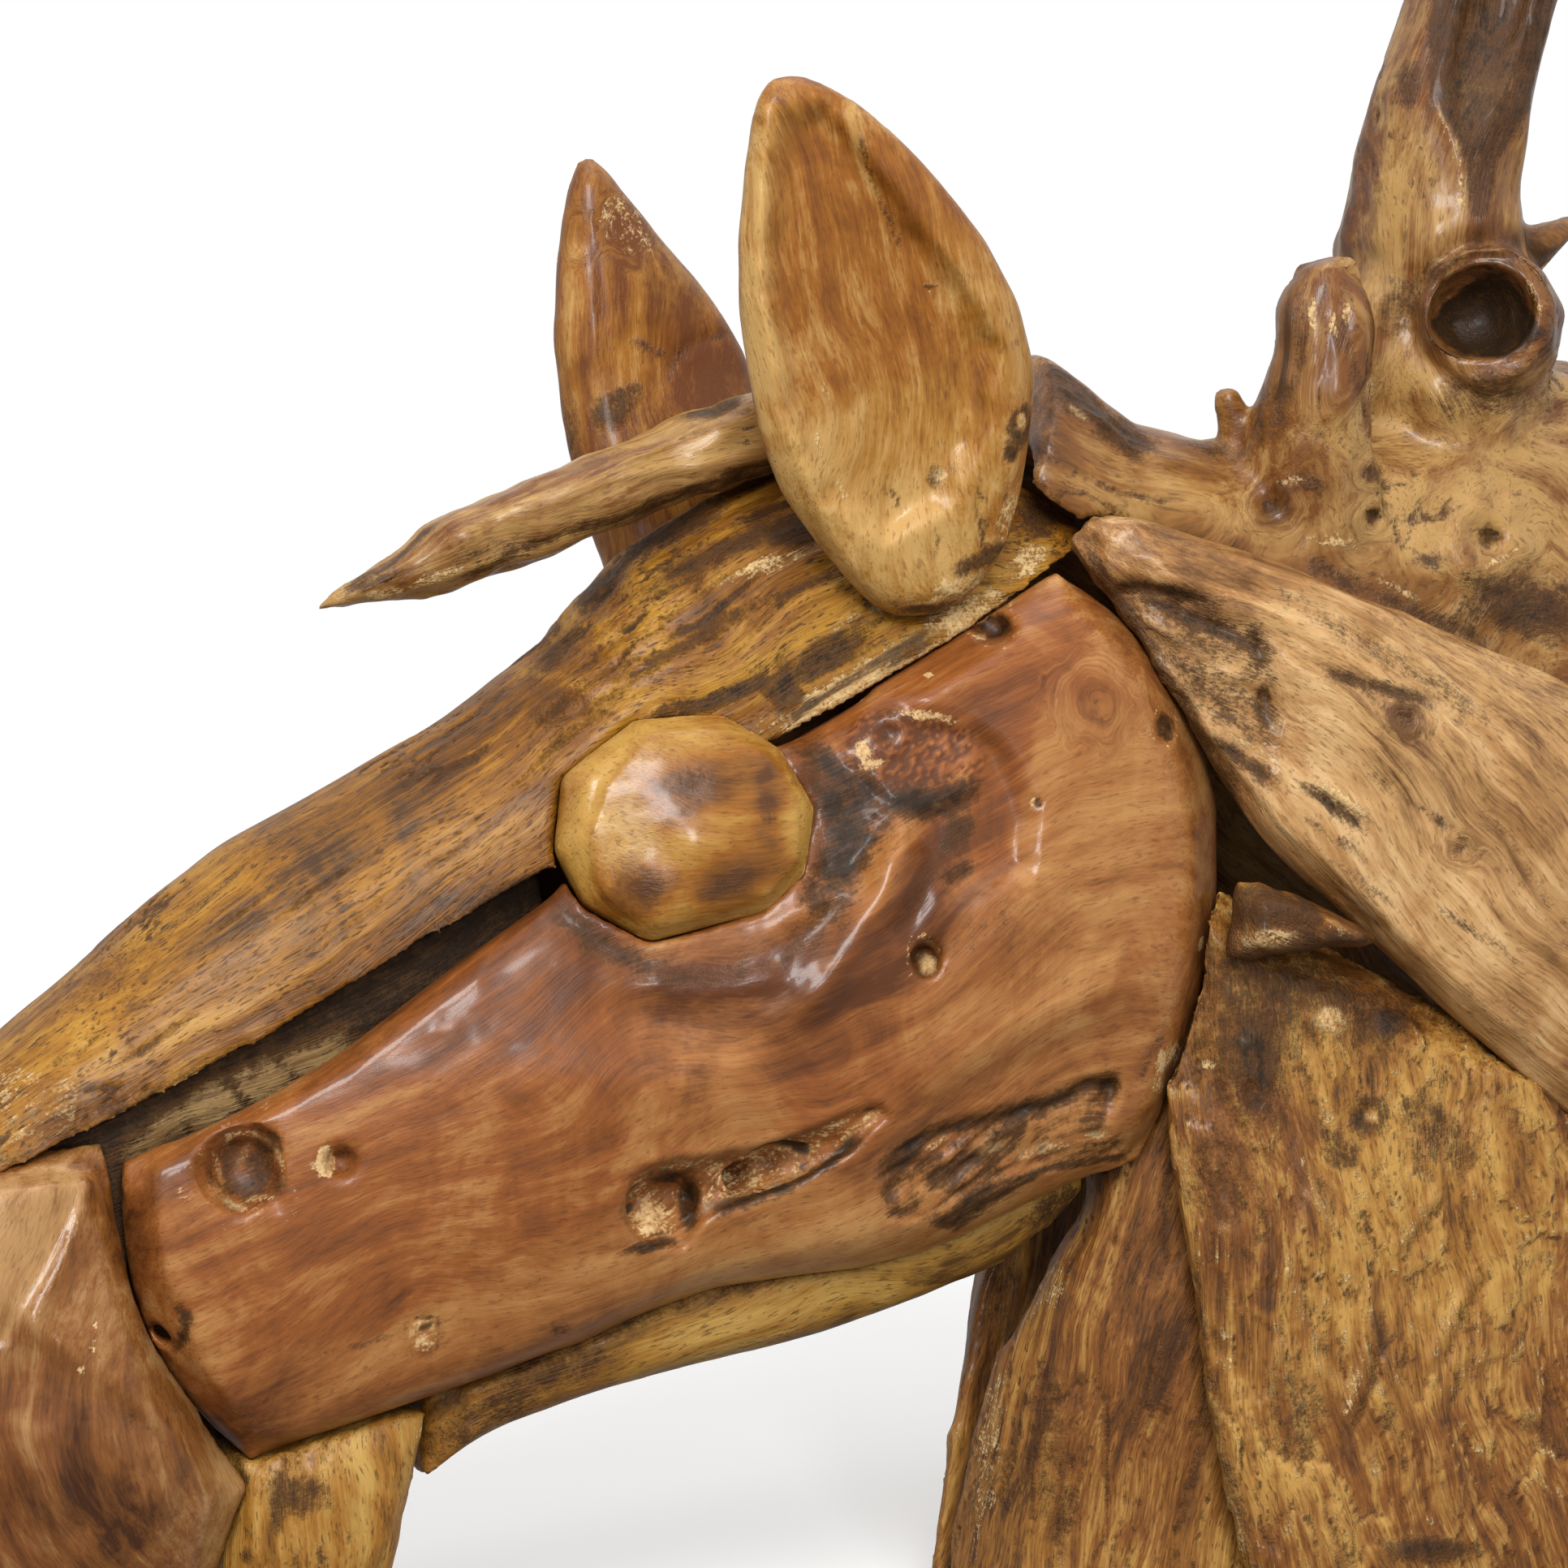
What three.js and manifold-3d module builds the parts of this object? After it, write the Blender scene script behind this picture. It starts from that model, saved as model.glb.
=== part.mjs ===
// Driftwood horse head: a bust pieced together from weathered slabs, logs and roots of teak.
// Millimetres, Z up. The nose points to -X, the near side faces -Y, the neck is cut flat at Z = 0.
//
// Outlines are drawn on a sheet that faces whoever looks at the near side. A sheet point is
// [across, up, offside]: millimetres to the right of the sheet's middle, millimetres above the
// neck's cut, and the signed distance off the mid-plane that the point is carried to along the
// line of sight.
import * as THREE from "three";
import { mergeVertices } from "three/addons/utils/BufferGeometryUtils.js";
import Module from "manifold-3d";

const wasm = await Module();
wasm.setup();
const { degToRad, lerp, clamp } = THREE.MathUtils;

// The sheet: how far it is turned towards the nose and tilted down, and where the viewer stands
const VIEW_YAW = degToRad(25);
const VIEW_TILT = degToRad(6);
const VIEW_DISTANCE = 1600;
const SHEET_CENTRE = new THREE.Vector3(-112, -70, 352);

// Fits between the pieces, and the saw cut under the neck
const GAP = 0.6;
const CUT_BLOCK = 2000;

// Shares of a slab's section: thickness left at its rim, and how far its sides follow the view
const RIM_SHARE = 0.3;
const SIDE_LEAN = 0.5;
// How much closer the cells stand near the ends and edges of a piece
const CELL_CROWDING = 0.45;
// The share of a slab's length that sets which way its ends bow out
const END_SHARE = 0.15;
// Shares of a split log's height and half width that its hollow underside reaches
const HOLLOW_DROP = 0.97;
const HOLLOW_REACH = 0.92;
// Rings to sides of an egg, cells kept on the far side, and how close vertices are to be welded
const EGG_RINGS = 0.6;
const FAR_CELLS = 0.55;
const WELD = 1e-3;

const viewForward = new THREE.Vector3(
  Math.sin(VIEW_YAW) * Math.cos(VIEW_TILT),
  Math.cos(VIEW_YAW) * Math.cos(VIEW_TILT),
  -Math.sin(VIEW_TILT),
);
const viewRight = new THREE.Vector3(Math.cos(VIEW_YAW), -Math.sin(VIEW_YAW), 0);
const viewUp = new THREE.Vector3().crossVectors(viewRight, viewForward);
const eyePoint = SHEET_CENTRE.clone().addScaledVector(viewForward, -VIEW_DISTANCE);
const inward = new THREE.Vector3(0, 1, 0).lerp(viewForward, SIDE_LEAN).normalize();

// The direction from the viewer through a point of the sheet
function sightLine(across, up) {
  return SHEET_CENTRE.clone()
    .addScaledVector(viewRight, across)
    .addScaledVector(viewUp, up - SHEET_CENTRE.z)
    .sub(eyePoint);
}

// A sheet point carried along the line of sight to its distance off the mid-plane
function place([across, up, offside = 0]) {
  const line = sightLine(across, up);
  return eyePoint.clone().addScaledVector(line, (offside - eyePoint.y) / line.y);
}

// Where a point of space shows on the sheet
function sheetOf(point) {
  const line = point.clone().sub(eyePoint);
  line.multiplyScalar(VIEW_DISTANCE / line.dot(viewForward));
  const onSheet = line.add(eyePoint).sub(SHEET_CENTRE);
  return [onSheet.dot(viewRight), onSheet.dot(viewUp) + SHEET_CENTRE.z];
}

// A smooth edge through a few sheet points
function rail(points) {
  return new THREE.CatmullRomCurve3(points.map(place), false, "centripetal");
}

// A size given as one number, or as a row of values spread evenly along the piece
function sizeAt(size, f) {
  const values = [size].flat();
  const step = clamp(f, 0, 1) * (values.length - 1);
  const from = Math.min(Math.floor(step), values.length - 1);
  const to = Math.min(from + 1, values.length - 1);
  return lerp(values[from], values[to], step - from);
}

function crowded(f) {
  return f - (CELL_CROWDING / (2 * Math.PI)) * Math.sin(2 * Math.PI * f);
}

// Quarter-round profile: 0 on the edge, 1 from one radius inwards
function rounding(distance, radius) {
  const f = clamp(distance / radius, 0, 1);
  return Math.sqrt(1 - (1 - f) ** 2);
}

// Height of the carved folds and dishes at a point of the sheet
function foldHeight(folds, across, up) {
  let height = 0;
  for (const { at, size, turn = 0, rise } of folds) {
    const angle = degToRad(turn);
    const right = across - at[0];
    const above = up - at[1];
    const lengthways = (right * Math.cos(angle) + above * Math.sin(angle)) / size[0];
    const sideways = (above * Math.cos(angle) - right * Math.sin(angle)) / size[1];
    height += rise * Math.exp(-(lengthways ** 2 + sideways ** 2));
  }
  return height;
}

// Moves every vertex of a geometry to where a function sends it
function shaped(geometry, move) {
  const position = geometry.attributes.position;
  for (let i = 0; i < position.count; i++) {
    const from = new THREE.Vector3().fromBufferAttribute(position, i);
    position.setXYZ(i, ...move(from).toArray());
  }
  return geometry;
}

// A slab between two edges. Seen from the near side it runs from start to end with its first edge
// on the left hand, and its front swells, folds and rounds off towards the viewer. A slab astride
// the mid-plane has the mirror image of its front for a back.
function slab(piece) {
  const { first, second, cells, thick, round } = piece;
  const { swell = 0, folds = [], bowStart = 0, bowEnd = 0, astride = false } = piece;
  const firstEdge = rail(first);
  const secondEdge = rail(second);
  const middle = (s) => firstEdge.getPointAt(s).lerp(secondEdge.getPointAt(s), 0.5);
  const length = middle(0).distanceTo(middle(1));
  const endway = middle(1).sub(middle(1 - END_SHARE)).normalize();
  const startway = middle(0).sub(middle(END_SHARE)).normalize();
  return shaped(new THREE.BoxGeometry(1, 1, 1, cells[0], cells[1], 1), (from) => {
    const s = crowded(from.x + 0.5);
    const t = crowded(0.5 - from.y);
    const a = firstEdge.getPointAt(s);
    const b = secondEdge.getPointAt(s);
    const point = a.clone().lerp(b, t);
    const arch = 4 * t * (1 - t);
    point.addScaledVector(endway, bowEnd * arch * s ** 3);
    point.addScaledVector(startway, bowStart * arch * (1 - s) ** 3);
    const edge =
      rounding(Math.min(t, 1 - t) * a.distanceTo(b), round) *
      rounding(Math.min(s, 1 - s) * length, round);
    const half = 0.5 * sizeAt(thick, s) * lerp(RIM_SHARE, 1, edge);
    if (from.z < 0 && !astride) return point.addScaledVector(inward, half);
    const dome = sizeAt(swell, s) * Math.sqrt(arch * edge);
    const carving = edge * foldHeight(folds, ...sheetOf(point));
    const towardsViewer = eyePoint.clone().sub(point).normalize();
    const front = point.addScaledVector(inward, -half).addScaledVector(towardsViewer, dome + carving);
    return from.z > 0 ? front : front.setY(-front.y);
  });
}

// A split log astride the mid-plane: a ridge, an edge on the near side and its mirror image on the
// far side, joined by an elliptical arc, with a shallower hollow underneath
function splitLog({ ridge, edge, cells, core }) {
  const ridgeLine = rail(ridge);
  const edgeLine = rail(edge);
  return shaped(new THREE.BoxGeometry(1, 1, 1, cells[0], cells[1], 1), (from) => {
    const s = crowded(from.x + 0.5);
    const angle = Math.PI * from.y;
    const crown = ridgeLine.getPointAt(s);
    const foot = edgeLine.getPointAt(s);
    const drop = foot.clone().sub(crown).setY(0);
    const outer = from.z > 0;
    const fall = 1 - Math.cos(angle);
    const depth = outer ? fall : lerp(core, HOLLOW_DROP, fall);
    const reach = (outer ? 1 : HOLLOW_REACH) * Math.abs(foot.y);
    return crown.addScaledVector(drop, depth).setY(reach * Math.sin(angle));
  });
}

// A branch along a spine of sheet points, with its radius at even steps
function branch({ spine, radius, sides, steps }) {
  const line = rail(spine);
  const frames = line.computeFrenetFrames(steps);
  return shaped(new THREE.CylinderGeometry(1, 1, 1, sides, steps), (from) => {
    const step = Math.round((from.y + 0.5) * steps);
    const girth = sizeAt(radius, step / steps);
    return line
      .getPointAt(step / steps)
      .addScaledVector(frames.normals[step], girth * from.z)
      .addScaledVector(frames.binormals[step], girth * from.x);
  });
}

// An egg-shaped cutter or lump, its short axis along the line of sight
function egg({ at, size, turn = 0, sides }) {
  const middle = place(at);
  const angle = degToRad(turn);
  const lengthways = viewRight.clone().applyAxisAngle(viewForward, -angle);
  const sideways = viewUp.clone().applyAxisAngle(viewForward, -angle);
  return shaped(new THREE.SphereGeometry(1, sides, Math.ceil(sides * EGG_RINGS)), (from) =>
    middle
      .clone()
      .addScaledVector(lengthways, size[0] * from.x)
      .addScaledVector(sideways, size[1] * from.y)
      .addScaledVector(viewForward, -size[2] * from.z),
  );
}

// The same piece on the other side of the mid-plane
function mirrored(geometry) {
  const other = geometry.clone().scale(1, -1, 1);
  const index = other.index.array;
  for (let i = 0; i < index.length; i += 3) {
    [index[i + 1], index[i + 2]] = [index[i + 2], index[i + 1]];
  }
  return other;
}

// Vertices shared, with nothing but their places kept
function welded(geometry) {
  const bare = geometry.clone();
  bare.deleteAttribute("normal");
  bare.deleteAttribute("uv");
  return mergeVertices(bare, WELD);
}

function solidOf(geometry) {
  const bare = welded(geometry);
  const vertProperties = new Float32Array(bare.attributes.position.array);
  const triVerts = new Uint32Array(bare.index.array);
  return new wasm.Manifold(new wasm.Mesh({ numProp: 3, vertProperties, triVerts }));
}

// The piece with a skin of clearance all over, to cut its bed in a neighbour
function clearanceOf(geometry) {
  const bare = welded(geometry);
  bare.computeVertexNormals();
  const { position, normal } = bare.attributes;
  for (let i = 0; i < position.count; i++) {
    const skin = new THREE.Vector3().fromBufferAttribute(normal, i).multiplyScalar(GAP);
    skin.add(new THREE.Vector3().fromBufferAttribute(position, i));
    position.setXYZ(i, ...skin.toArray());
  }
  return solidOf(bare);
}

function largestBody(solid) {
  return solid.decompose().reduce((best, body) => (body.volume() > best.volume() ? body : best));
}

function geometryOf(solid) {
  const { vertProperties, triVerts, numProp } = solid.getMesh();
  const geometry = new THREE.BufferGeometry();
  geometry.setAttribute("position", new THREE.BufferAttribute(new Float32Array(vertProperties), numProp));
  geometry.setIndex(new THREE.BufferAttribute(new Uint32Array(triVerts), 1));
  const faceted = geometry.toNonIndexed();
  faceted.computeVertexNormals();
  return faceted;
}

// Cheek: the broad slab of the head's side, with the dish of the eye, the fold of the jaw and a
// burl sunk behind the eye
const cheek = {
  first: [
    [-245, 212, -44], [-191, 239, -48], [-151, 263, -51], [-141, 273, -52], [-86, 313, -56],
    [-2, 366, -58], [64, 406, -56], [100, 430, -52],
  ],
  second: [
    [-198, 102, -38], [-137, 123, -44], [-83, 141, -50], [-29, 164, -54], [40, 174, -56],
    [109, 205, -56], [130, 213, -54],
  ],
  cells: [18, 10],
  thick: 24,
  swell: [10, 16, 24, 22],
  round: 9,
  bowStart: 15,
  bowEnd: 62,
  folds: [
    { at: [-36, 336], size: [66, 56], rise: -9 },
    { at: [24, 303], size: [42, 13], turn: 52, rise: 8 },
    { at: [54, 303], size: [30, 10], turn: 55, rise: -8 },
    { at: [52, 363], size: [34, 20], turn: 20, rise: -8 },
    { at: [91, 297], size: [60, 70], rise: 7 },
    { at: [82, 224], size: [44, 15], turn: 22, rise: -5 },
    { at: [-26, 243], size: [90, 30], turn: 20, rise: 5 },
  ],
};
const cheekHollows = [
  { at: [-200, 210, -68], size: [17, 17, 16], sides: 11 },
  { at: [-164, 212, -72], size: [7, 7, 10], sides: 7 },
  { at: [-46, 197, -78], size: [15, 10, 12], turn: 10, sides: 7 },
  { at: [-6, 211, -80], size: [44, 7, 11], turn: 16, sides: 8 },
  { at: [52, 288, -88], size: [8, 7, 9], sides: 7 },
  { at: [78, 410, -66], size: [9, 8, 12], sides: 7 },
  { at: [141, 373, -64], size: [6, 7, 10], sides: 7 },
  { at: [-230, 149, -46], size: [6, 3.5, 26], turn: -30, sides: 6 },
];

// Eye: a low pared knob of ten uneven sides, with a chamfer round it and a flat-topped dome.
// Its corners are offsets across and up from the centre.
const eyeCentre = [-36, 336, -70];
const eyeCorners = [
  [49, 7], [36, 30], [15, 42], [-18, 40], [-46, 19], [-49, -8], [-39, -29], [-15, -42], [29, -31],
  [44, -18],
];
const eyeProfile = [
  [0, -26], [0.9, -26], [1, -4], [1, 2], [0.86, 11], [0.6, 15], [0.25, 17], [0, 17.3],
];
const eyeFacing = new THREE.Vector3(-0.18, -1, 0);
const eyeTilt = degToRad(-14);

function knob() {
  const profile = eyeProfile.map(([out, proud]) => new THREE.Vector2(out, proud));
  const lathe = new THREE.LatheGeometry(profile, eyeCorners.length, Math.PI / 2);
  const middle = place(eyeCentre);
  const proudway = eyeFacing.clone().normalize().applyAxisAngle(viewRight, eyeTilt);
  const sideways = new THREE.Vector3().crossVectors(viewUp, proudway).normalize();
  const upwards = new THREE.Vector3().crossVectors(proudway, sideways);
  return shaped(lathe, (from) => {
    const turn = Math.atan2(-from.z, from.x) / (2 * Math.PI) + 1;
    const [across, up] = eyeCorners[Math.round(turn * eyeCorners.length) % eyeCorners.length];
    const out = Math.hypot(from.x, from.z);
    return middle
      .clone()
      .addScaledVector(sideways, out * across)
      .addScaledVector(upwards, out * up)
      .addScaledVector(proudway, from.y);
  });
}

// Forehead log: a long split log from the nose to between the ears
const foreheadLog = {
  ridge: [
    [-368, 198], [-326, 230], [-285, 263], [-230, 313], [-197, 337], [-146, 363], [-105, 389],
    [-80, 413], [-64, 434], [-38, 453], [-5, 471], [40, 480], [79, 468], [103, 450],
  ],
  edge: [
    [-368, 162, -34], [-326, 186, -40], [-285, 208, -46], [-230, 236, -50], [-164, 274, -54],
    [-89, 318, -58], [-2, 367, -60], [64, 404, -58], [103, 434, -50],
  ],
  cells: [18, 8],
  core: 0.7,
};

// Ears: pointed leaves of split wood, the near one scooped out in front
const nearEar = {
  first: [
    [34, 416, -60], [13, 438, -66], [-6, 468, -74], [-15, 507, -80], [-18, 543, -84],
    [-12, 603, -88], [-6, 615, -88],
  ],
  second: [
    [64, 418, -60], [81, 436, -63], [89, 468, -70], [93, 510, -76], [80, 546, -82],
    [31, 602, -88], [5, 616, -88],
  ],
  cells: [12, 7],
  thick: [22, 26, 22, 12],
  swell: 3,
  round: 12,
  bowStart: 5,
  folds: [{ at: [37, 513], size: [62, 22], turn: 100, rise: -9 }],
};
const farEar = {
  first: [[-53, 396, 56], [-69, 435, 62], [-80, 470, 68], [-86, 516, 72], [-83, 561, 74], [-78, 585, 74]],
  second: [[-3, 420, 56], [-6, 474, 62], [-10, 504, 66], [-30, 537, 72], [-48, 558, 74], [-70, 586, 74]],
  cells: [10, 5],
  thick: [26, 24, 20, 12],
  swell: 8,
  round: 14,
  folds: [{ at: [-29, 507], size: [22, 18], rise: -7 }],
};

// Forelock: a flake of root lying across the poll behind the ears
const forelock = {
  first: [
    [-174, 418, -4], [-155, 432, -4], [-126, 453, -4], [-83, 471, -5], [-35, 489, -6],
    [-11, 499, -6], [22, 501, -6],
  ],
  second: [
    [-174, 415, -4], [-143, 418, -4], [-98, 430, -5], [-74, 440, -6], [-50, 450, -8], [-8, 465, -8],
    [22, 468, -8],
  ],
  cells: [12, 4],
  thick: [14, 26, 34, 40, 44],
  swell: 5,
  round: 12,
};

// Muzzle: the folded slab of the nose and lips, one to each side
const muzzle = {
  first: [
    [-252, 220, -42], [-248, 203, -45], [-245, 182, -46], [-228, 138, -47], [-218, 117, -46],
    [-198, 102, -44], [-203, 81, -42], [-215, 42, -36],
  ],
  second: [
    [-365, 205, -9], [-389, 170, -9], [-393, 132, -9], [-386, 93, -9], [-368, 63, -9], [-347, 44, -9],
  ],
  cells: [9, 8],
  thick: 22,
  swell: [18, 30, 32, 20],
  round: 18,
  folds: [
    { at: [-272, 159], size: [60, 12], turn: 68, rise: -8 },
    { at: [-239, 102], size: [26, 30], rise: 8 },
    { at: [-281, 87], size: [10, 34], rise: -7 },
    { at: [-302, 192], size: [40, 26], turn: 20, rise: 6 },
  ],
};
const nostril = { at: [-335, 147, -52], size: [13, 22, 16], turn: -25, sides: 10 };

// Chin, lower jaw and nose board: blocks between the two sides of the head
const chin = {
  first: [[-200, 102, -42], [-176, 111, -44], [-152, 118, -44], [-132, 121, -42]],
  second: [[-211, 40, -36], [-191, 36, -38], [-170, 36, -38], [-149, 39, -36]],
  cells: [5, 4],
  thick: 12,
  swell: 5,
  round: 12,
  astride: true,
};
const lowerJaw = {
  first: [[-132, 135, -34], [-83, 156, -38], [-29, 180, -40], [40, 192, -42], [109, 222, -42]],
  second: [
    [-134, 95, -30], [-98, 115, -34], [-35, 134, -38], [-2, 142, -38], [49, 160, -38], [79, 170, -36],
    [111, 202, -36],
  ],
  cells: [9, 4],
  thick: 12,
  swell: 8,
  round: 12,
  astride: true,
};
const noseBoard = {
  first: [
    [-318, 196, -30], [-260, 226, -36], [-215, 248, -38], [-161, 280, -40], [-131, 298, -40],
    [-90, 322, -36],
  ],
  second: [
    [-300, 150, -30], [-242, 174, -36], [-200, 186, -38], [-152, 216, -40], [-125, 230, -41],
    [-84, 258, -36],
  ],
  cells: [6, 3],
  thick: 6,
  round: 8,
  astride: true,
};

// Mane planks: long slabs that run back from the cheek along the side of the neck
const manePlank = {
  first: [
    [114, 452, -56], [139, 451, -62], [190, 434, -68], [250, 406, -72], [285, 392, -74],
    [328, 370, -74], [370, 342, -70],
  ],
  second: [
    [104, 442, -52], [116, 425, -56], [142, 383, -64], [166, 340, -72], [202, 306, -78], [265, 248, -84],
    [285, 232, -84], [346, 186, -82],
  ],
  cells: [13, 7],
  thick: 26,
  swell: [2, 12, 14, 12],
  round: 14,
  folds: [
    { at: [178, 384], size: [80, 12], turn: -38, rise: -6 },
    { at: [226, 372], size: [80, 12], turn: -30, rise: 6 },
  ],
};

// Mane root: the gnarled root along the crest, with a broken stump, a nub and an upright branch
const maneRoot = {
  ridge: [
    [91, 513], [109, 501], [127, 486], [145, 480], [166, 482], [223, 492], [280, 513],
    [325, 498], [364, 447], [388, 387],
  ],
  edge: [
    [91, 462, -50], [115, 444, -54], [160, 432, -56], [220, 402, -60], [285, 372, -62],
    [340, 342, -62], [382, 309, -60],
  ],
  cells: [12, 8],
  core: 0.6,
};
const stump = {
  spine: [
    [190, 438, -16], [194, 474, -40], [197, 498, -46], [201, 522, -48], [201, 538, -48], [200, 546, -48],
  ],
  radius: [14, 34, 27, 22, 19, 12],
  sides: 8,
  steps: 5,
};
const nub = {
  spine: [[170, 470, -20], [166, 485, -22], [163, 498, -22]],
  radius: [10, 7, 5],
  sides: 6,
  steps: 2,
};
const uprightBranch = {
  spine: [
    [247, 426, 12], [240, 516, 0], [239, 540, 0], [241, 573, -4], [246, 597, -8], [249, 621, -8],
    [262, 648, -6], [276, 693, -6],
  ],
  radius: [16, 44, 50, 44, 38, 34, 33, 28, 18],
  sides: 10,
  steps: 9,
};
const brokenLimb = {
  spine: [[255, 519, -6], [259, 524, -44], [260, 527, -58]],
  radius: [36, 34, 27],
  sides: 11,
  steps: 2,
};
const spur = {
  spine: [[265, 543, -10], [280, 552, -10], [294, 561, -10]],
  radius: [16, 10, 5],
  sides: 7,
  steps: 2,
};
const limbHole = { at: [259, 527, -62], size: [23.5, 19.5, 46], turn: 14, sides: 10 };
const trough = {
  spine: [
    [254, 560, -48], [255, 582, -46], [254, 603, -44], [261, 627, -42], [271, 654, -38],
    [280, 699, -34],
  ],
  radius: [4, 7, 17, 18, 16, 15],
  sides: 8,
  steps: 5,
};

// Neck: wedge, outer planks, front planks and the back of the crest
const neckWedge = {
  first: [[167, 316, -84], [181, 316, -88], [202, 308, -90], [219, 296, -90]],
  second: [[163, 288, -84], [178, 286, -88], [196, 289, -90], [219, 292, -90]],
  cells: [5, 3],
  thick: 22,
  swell: 4,
  round: 7,
};
const neckPlank = {
  first: [[346, 222, -74], [355, 192, -78], [379, 132, -84], [394, 72, -88], [400, -18, -90]],
  second: [
    [142, 321, -58], [139, 255, -64], [142, 222, -70], [146, 192, -74], [159, 117, -82],
    [169, 67, -86], [175, -18, -88],
  ],
  cells: [10, 7],
  thick: 28,
  swell: 10,
  round: 14,
  folds: [
    { at: [202, 174], size: [60, 26], turn: 70, rise: 5 },
    { at: [244, 150], size: [70, 16], turn: 72, rise: -6 },
  ],
};
const frontPlank = {
  first: [
    [160, 297, -50], [160, 252, -52], [160, 207, -55], [169, 147, -60], [178, 87, -64],
    [187, -18, -66],
  ],
  second: [
    [112, 222, -30], [109, 192, -26], [92, 168, -20], [74, 126, -12], [65, 87, -7], [49, -18, -6],
  ],
  cells: [10, 5],
  thick: 22,
  swell: 8,
  round: 12,
};
const backPlank = {
  ridge: [[389, 384], [409, 312], [421, 222], [427, 102], [430, -18]],
  edge: [[348, 306, -56], [348, 252, -62], [355, 132, -68], [364, -18, -72]],
  cells: [6, 7],
  core: 0.55,
};

// Plainer cells for a piece on the far side
function plainer(piece) {
  return { ...piece, cells: piece.cells.map((count) => Math.max(3, Math.round(count * FAR_CELLS))) };
}

// A piece and its plainer twin across the mid-plane
function pair(name, piece) {
  return {
    [`near_${name}`]: slab(piece),
    [`far_${name}`]: mirrored(slab(plainer(piece))),
  };
}

const forms = {
  near_eye: knob(),
  far_eye: mirrored(knob()),
  near_ear: slab(nearEar),
  far_ear: slab(farEar),
  ...pair("cheek", cheek),
  ...pair("muzzle", muzzle),
  ...pair("mane_plank", manePlank),
  ...pair("neck_wedge", neckWedge),
  ...pair("neck_plank", neckPlank),
  ...pair("front_plank", frontPlank),
  forehead_log: splitLog(foreheadLog),
  forelock: slab(forelock),
  nose_board: slab(noseBoard),
  lower_jaw: slab(lowerJaw),
  chin: slab(chin),
  mane_root: splitLog(maneRoot),
  back_plank: splitLog(backPlank),
};

// Lumps joined to a piece and hollows cut from it
const joined = { mane_root: [stump, nub, uprightBranch, brokenLimb, spur].map(branch) };
const hollowed = {
  near_cheek: cheekHollows.map(egg),
  near_muzzle: [egg(nostril)],
  far_muzzle: [mirrored(egg(nostril))],
  mane_root: [egg(limbHole), branch(trough)],
};

// The order of fitting: each piece is let into all those named before it
const order = [
  ["near_eye", 0xb8812f], ["far_eye", 0xb8812f],
  ["near_ear", 0xa9702c], ["far_ear", 0x96602a],
  ["near_cheek", 0x9a5426], ["far_cheek", 0x9a5426],
  ["forehead_log", 0xa06a2c], ["forelock", 0x8a5c30],
  ["near_muzzle", 0x98632c], ["far_muzzle", 0x98632c],
  ["nose_board", 0x5f3d22], ["lower_jaw", 0xb98438], ["chin", 0x936130],
  ["near_mane_plank", 0xb07c48], ["far_mane_plank", 0xb07c48],
  ["mane_root", 0xa87440],
  ["near_neck_wedge", 0xa06a2e], ["far_neck_wedge", 0xa06a2e],
  ["near_neck_plank", 0x8d5c26], ["far_neck_plank", 0x8d5c26],
  ["near_front_plank", 0x7d5228], ["far_front_plank", 0x7d5228],
  ["back_plank", 0x8d5c2a],
];
const LACQUER_ROUGHNESS = 0.42;

const sawCut = new THREE.BoxGeometry(CUT_BLOCK, CUT_BLOCK, CUT_BLOCK).translate(0, 0, -CUT_BLOCK / 2);
const horseHead = new THREE.Group();
const bedded = [];
for (const [name, color] of order) {
  let whole = solidOf(forms[name]);
  for (const lump of joined[name] ?? []) whole = whole.add(solidOf(lump));
  let solid = whole.subtract(solidOf(sawCut));
  for (const hollow of hollowed[name] ?? []) solid = solid.subtract(solidOf(hollow));
  for (const neighbour of bedded) solid = solid.subtract(neighbour);
  bedded.push(clearanceOf(geometryOf(whole)).add(whole));
  const finish = new THREE.MeshStandardMaterial({ color, roughness: LACQUER_ROUGHNESS, metalness: 0 });
  const mesh = new THREE.Mesh(geometryOf(largestBody(solid)), finish);
  mesh.name = name;
  horseHead.add(mesh);
}

export default horseHead;
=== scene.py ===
"""Driftwood horse head: split, sawn and natural pieces of teak root, oiled and lacquered.

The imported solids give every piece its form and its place. This file carves the finer relief
into a copy of each solid, gives it its wood, and sets the stage.
"""

import itertools
import math

import bmesh
import bpy
import numpy as np
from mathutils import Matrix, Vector
from mathutils.kdtree import KDTree


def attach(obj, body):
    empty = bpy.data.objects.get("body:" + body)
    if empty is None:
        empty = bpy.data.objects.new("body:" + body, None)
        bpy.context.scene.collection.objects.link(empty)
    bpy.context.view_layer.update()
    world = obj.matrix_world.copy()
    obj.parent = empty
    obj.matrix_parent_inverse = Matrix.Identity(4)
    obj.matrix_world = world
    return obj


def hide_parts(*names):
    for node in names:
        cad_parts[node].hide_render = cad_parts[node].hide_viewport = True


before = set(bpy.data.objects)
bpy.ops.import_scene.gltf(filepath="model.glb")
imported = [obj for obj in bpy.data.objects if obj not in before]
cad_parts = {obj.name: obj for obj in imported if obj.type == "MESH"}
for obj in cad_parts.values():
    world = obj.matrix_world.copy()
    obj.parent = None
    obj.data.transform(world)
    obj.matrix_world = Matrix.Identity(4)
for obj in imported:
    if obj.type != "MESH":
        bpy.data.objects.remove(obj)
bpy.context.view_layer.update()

bl_info = {
    "name": "Driftwood Horse Head",
    "version": (1, 0, 0),
    "blender": (4, 5, 0),
    "location": "View3D > Sidebar > Horse Head",
    "description": "Carves and finishes the pieces of a driftwood horse head",
    "category": "Object",
}

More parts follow.
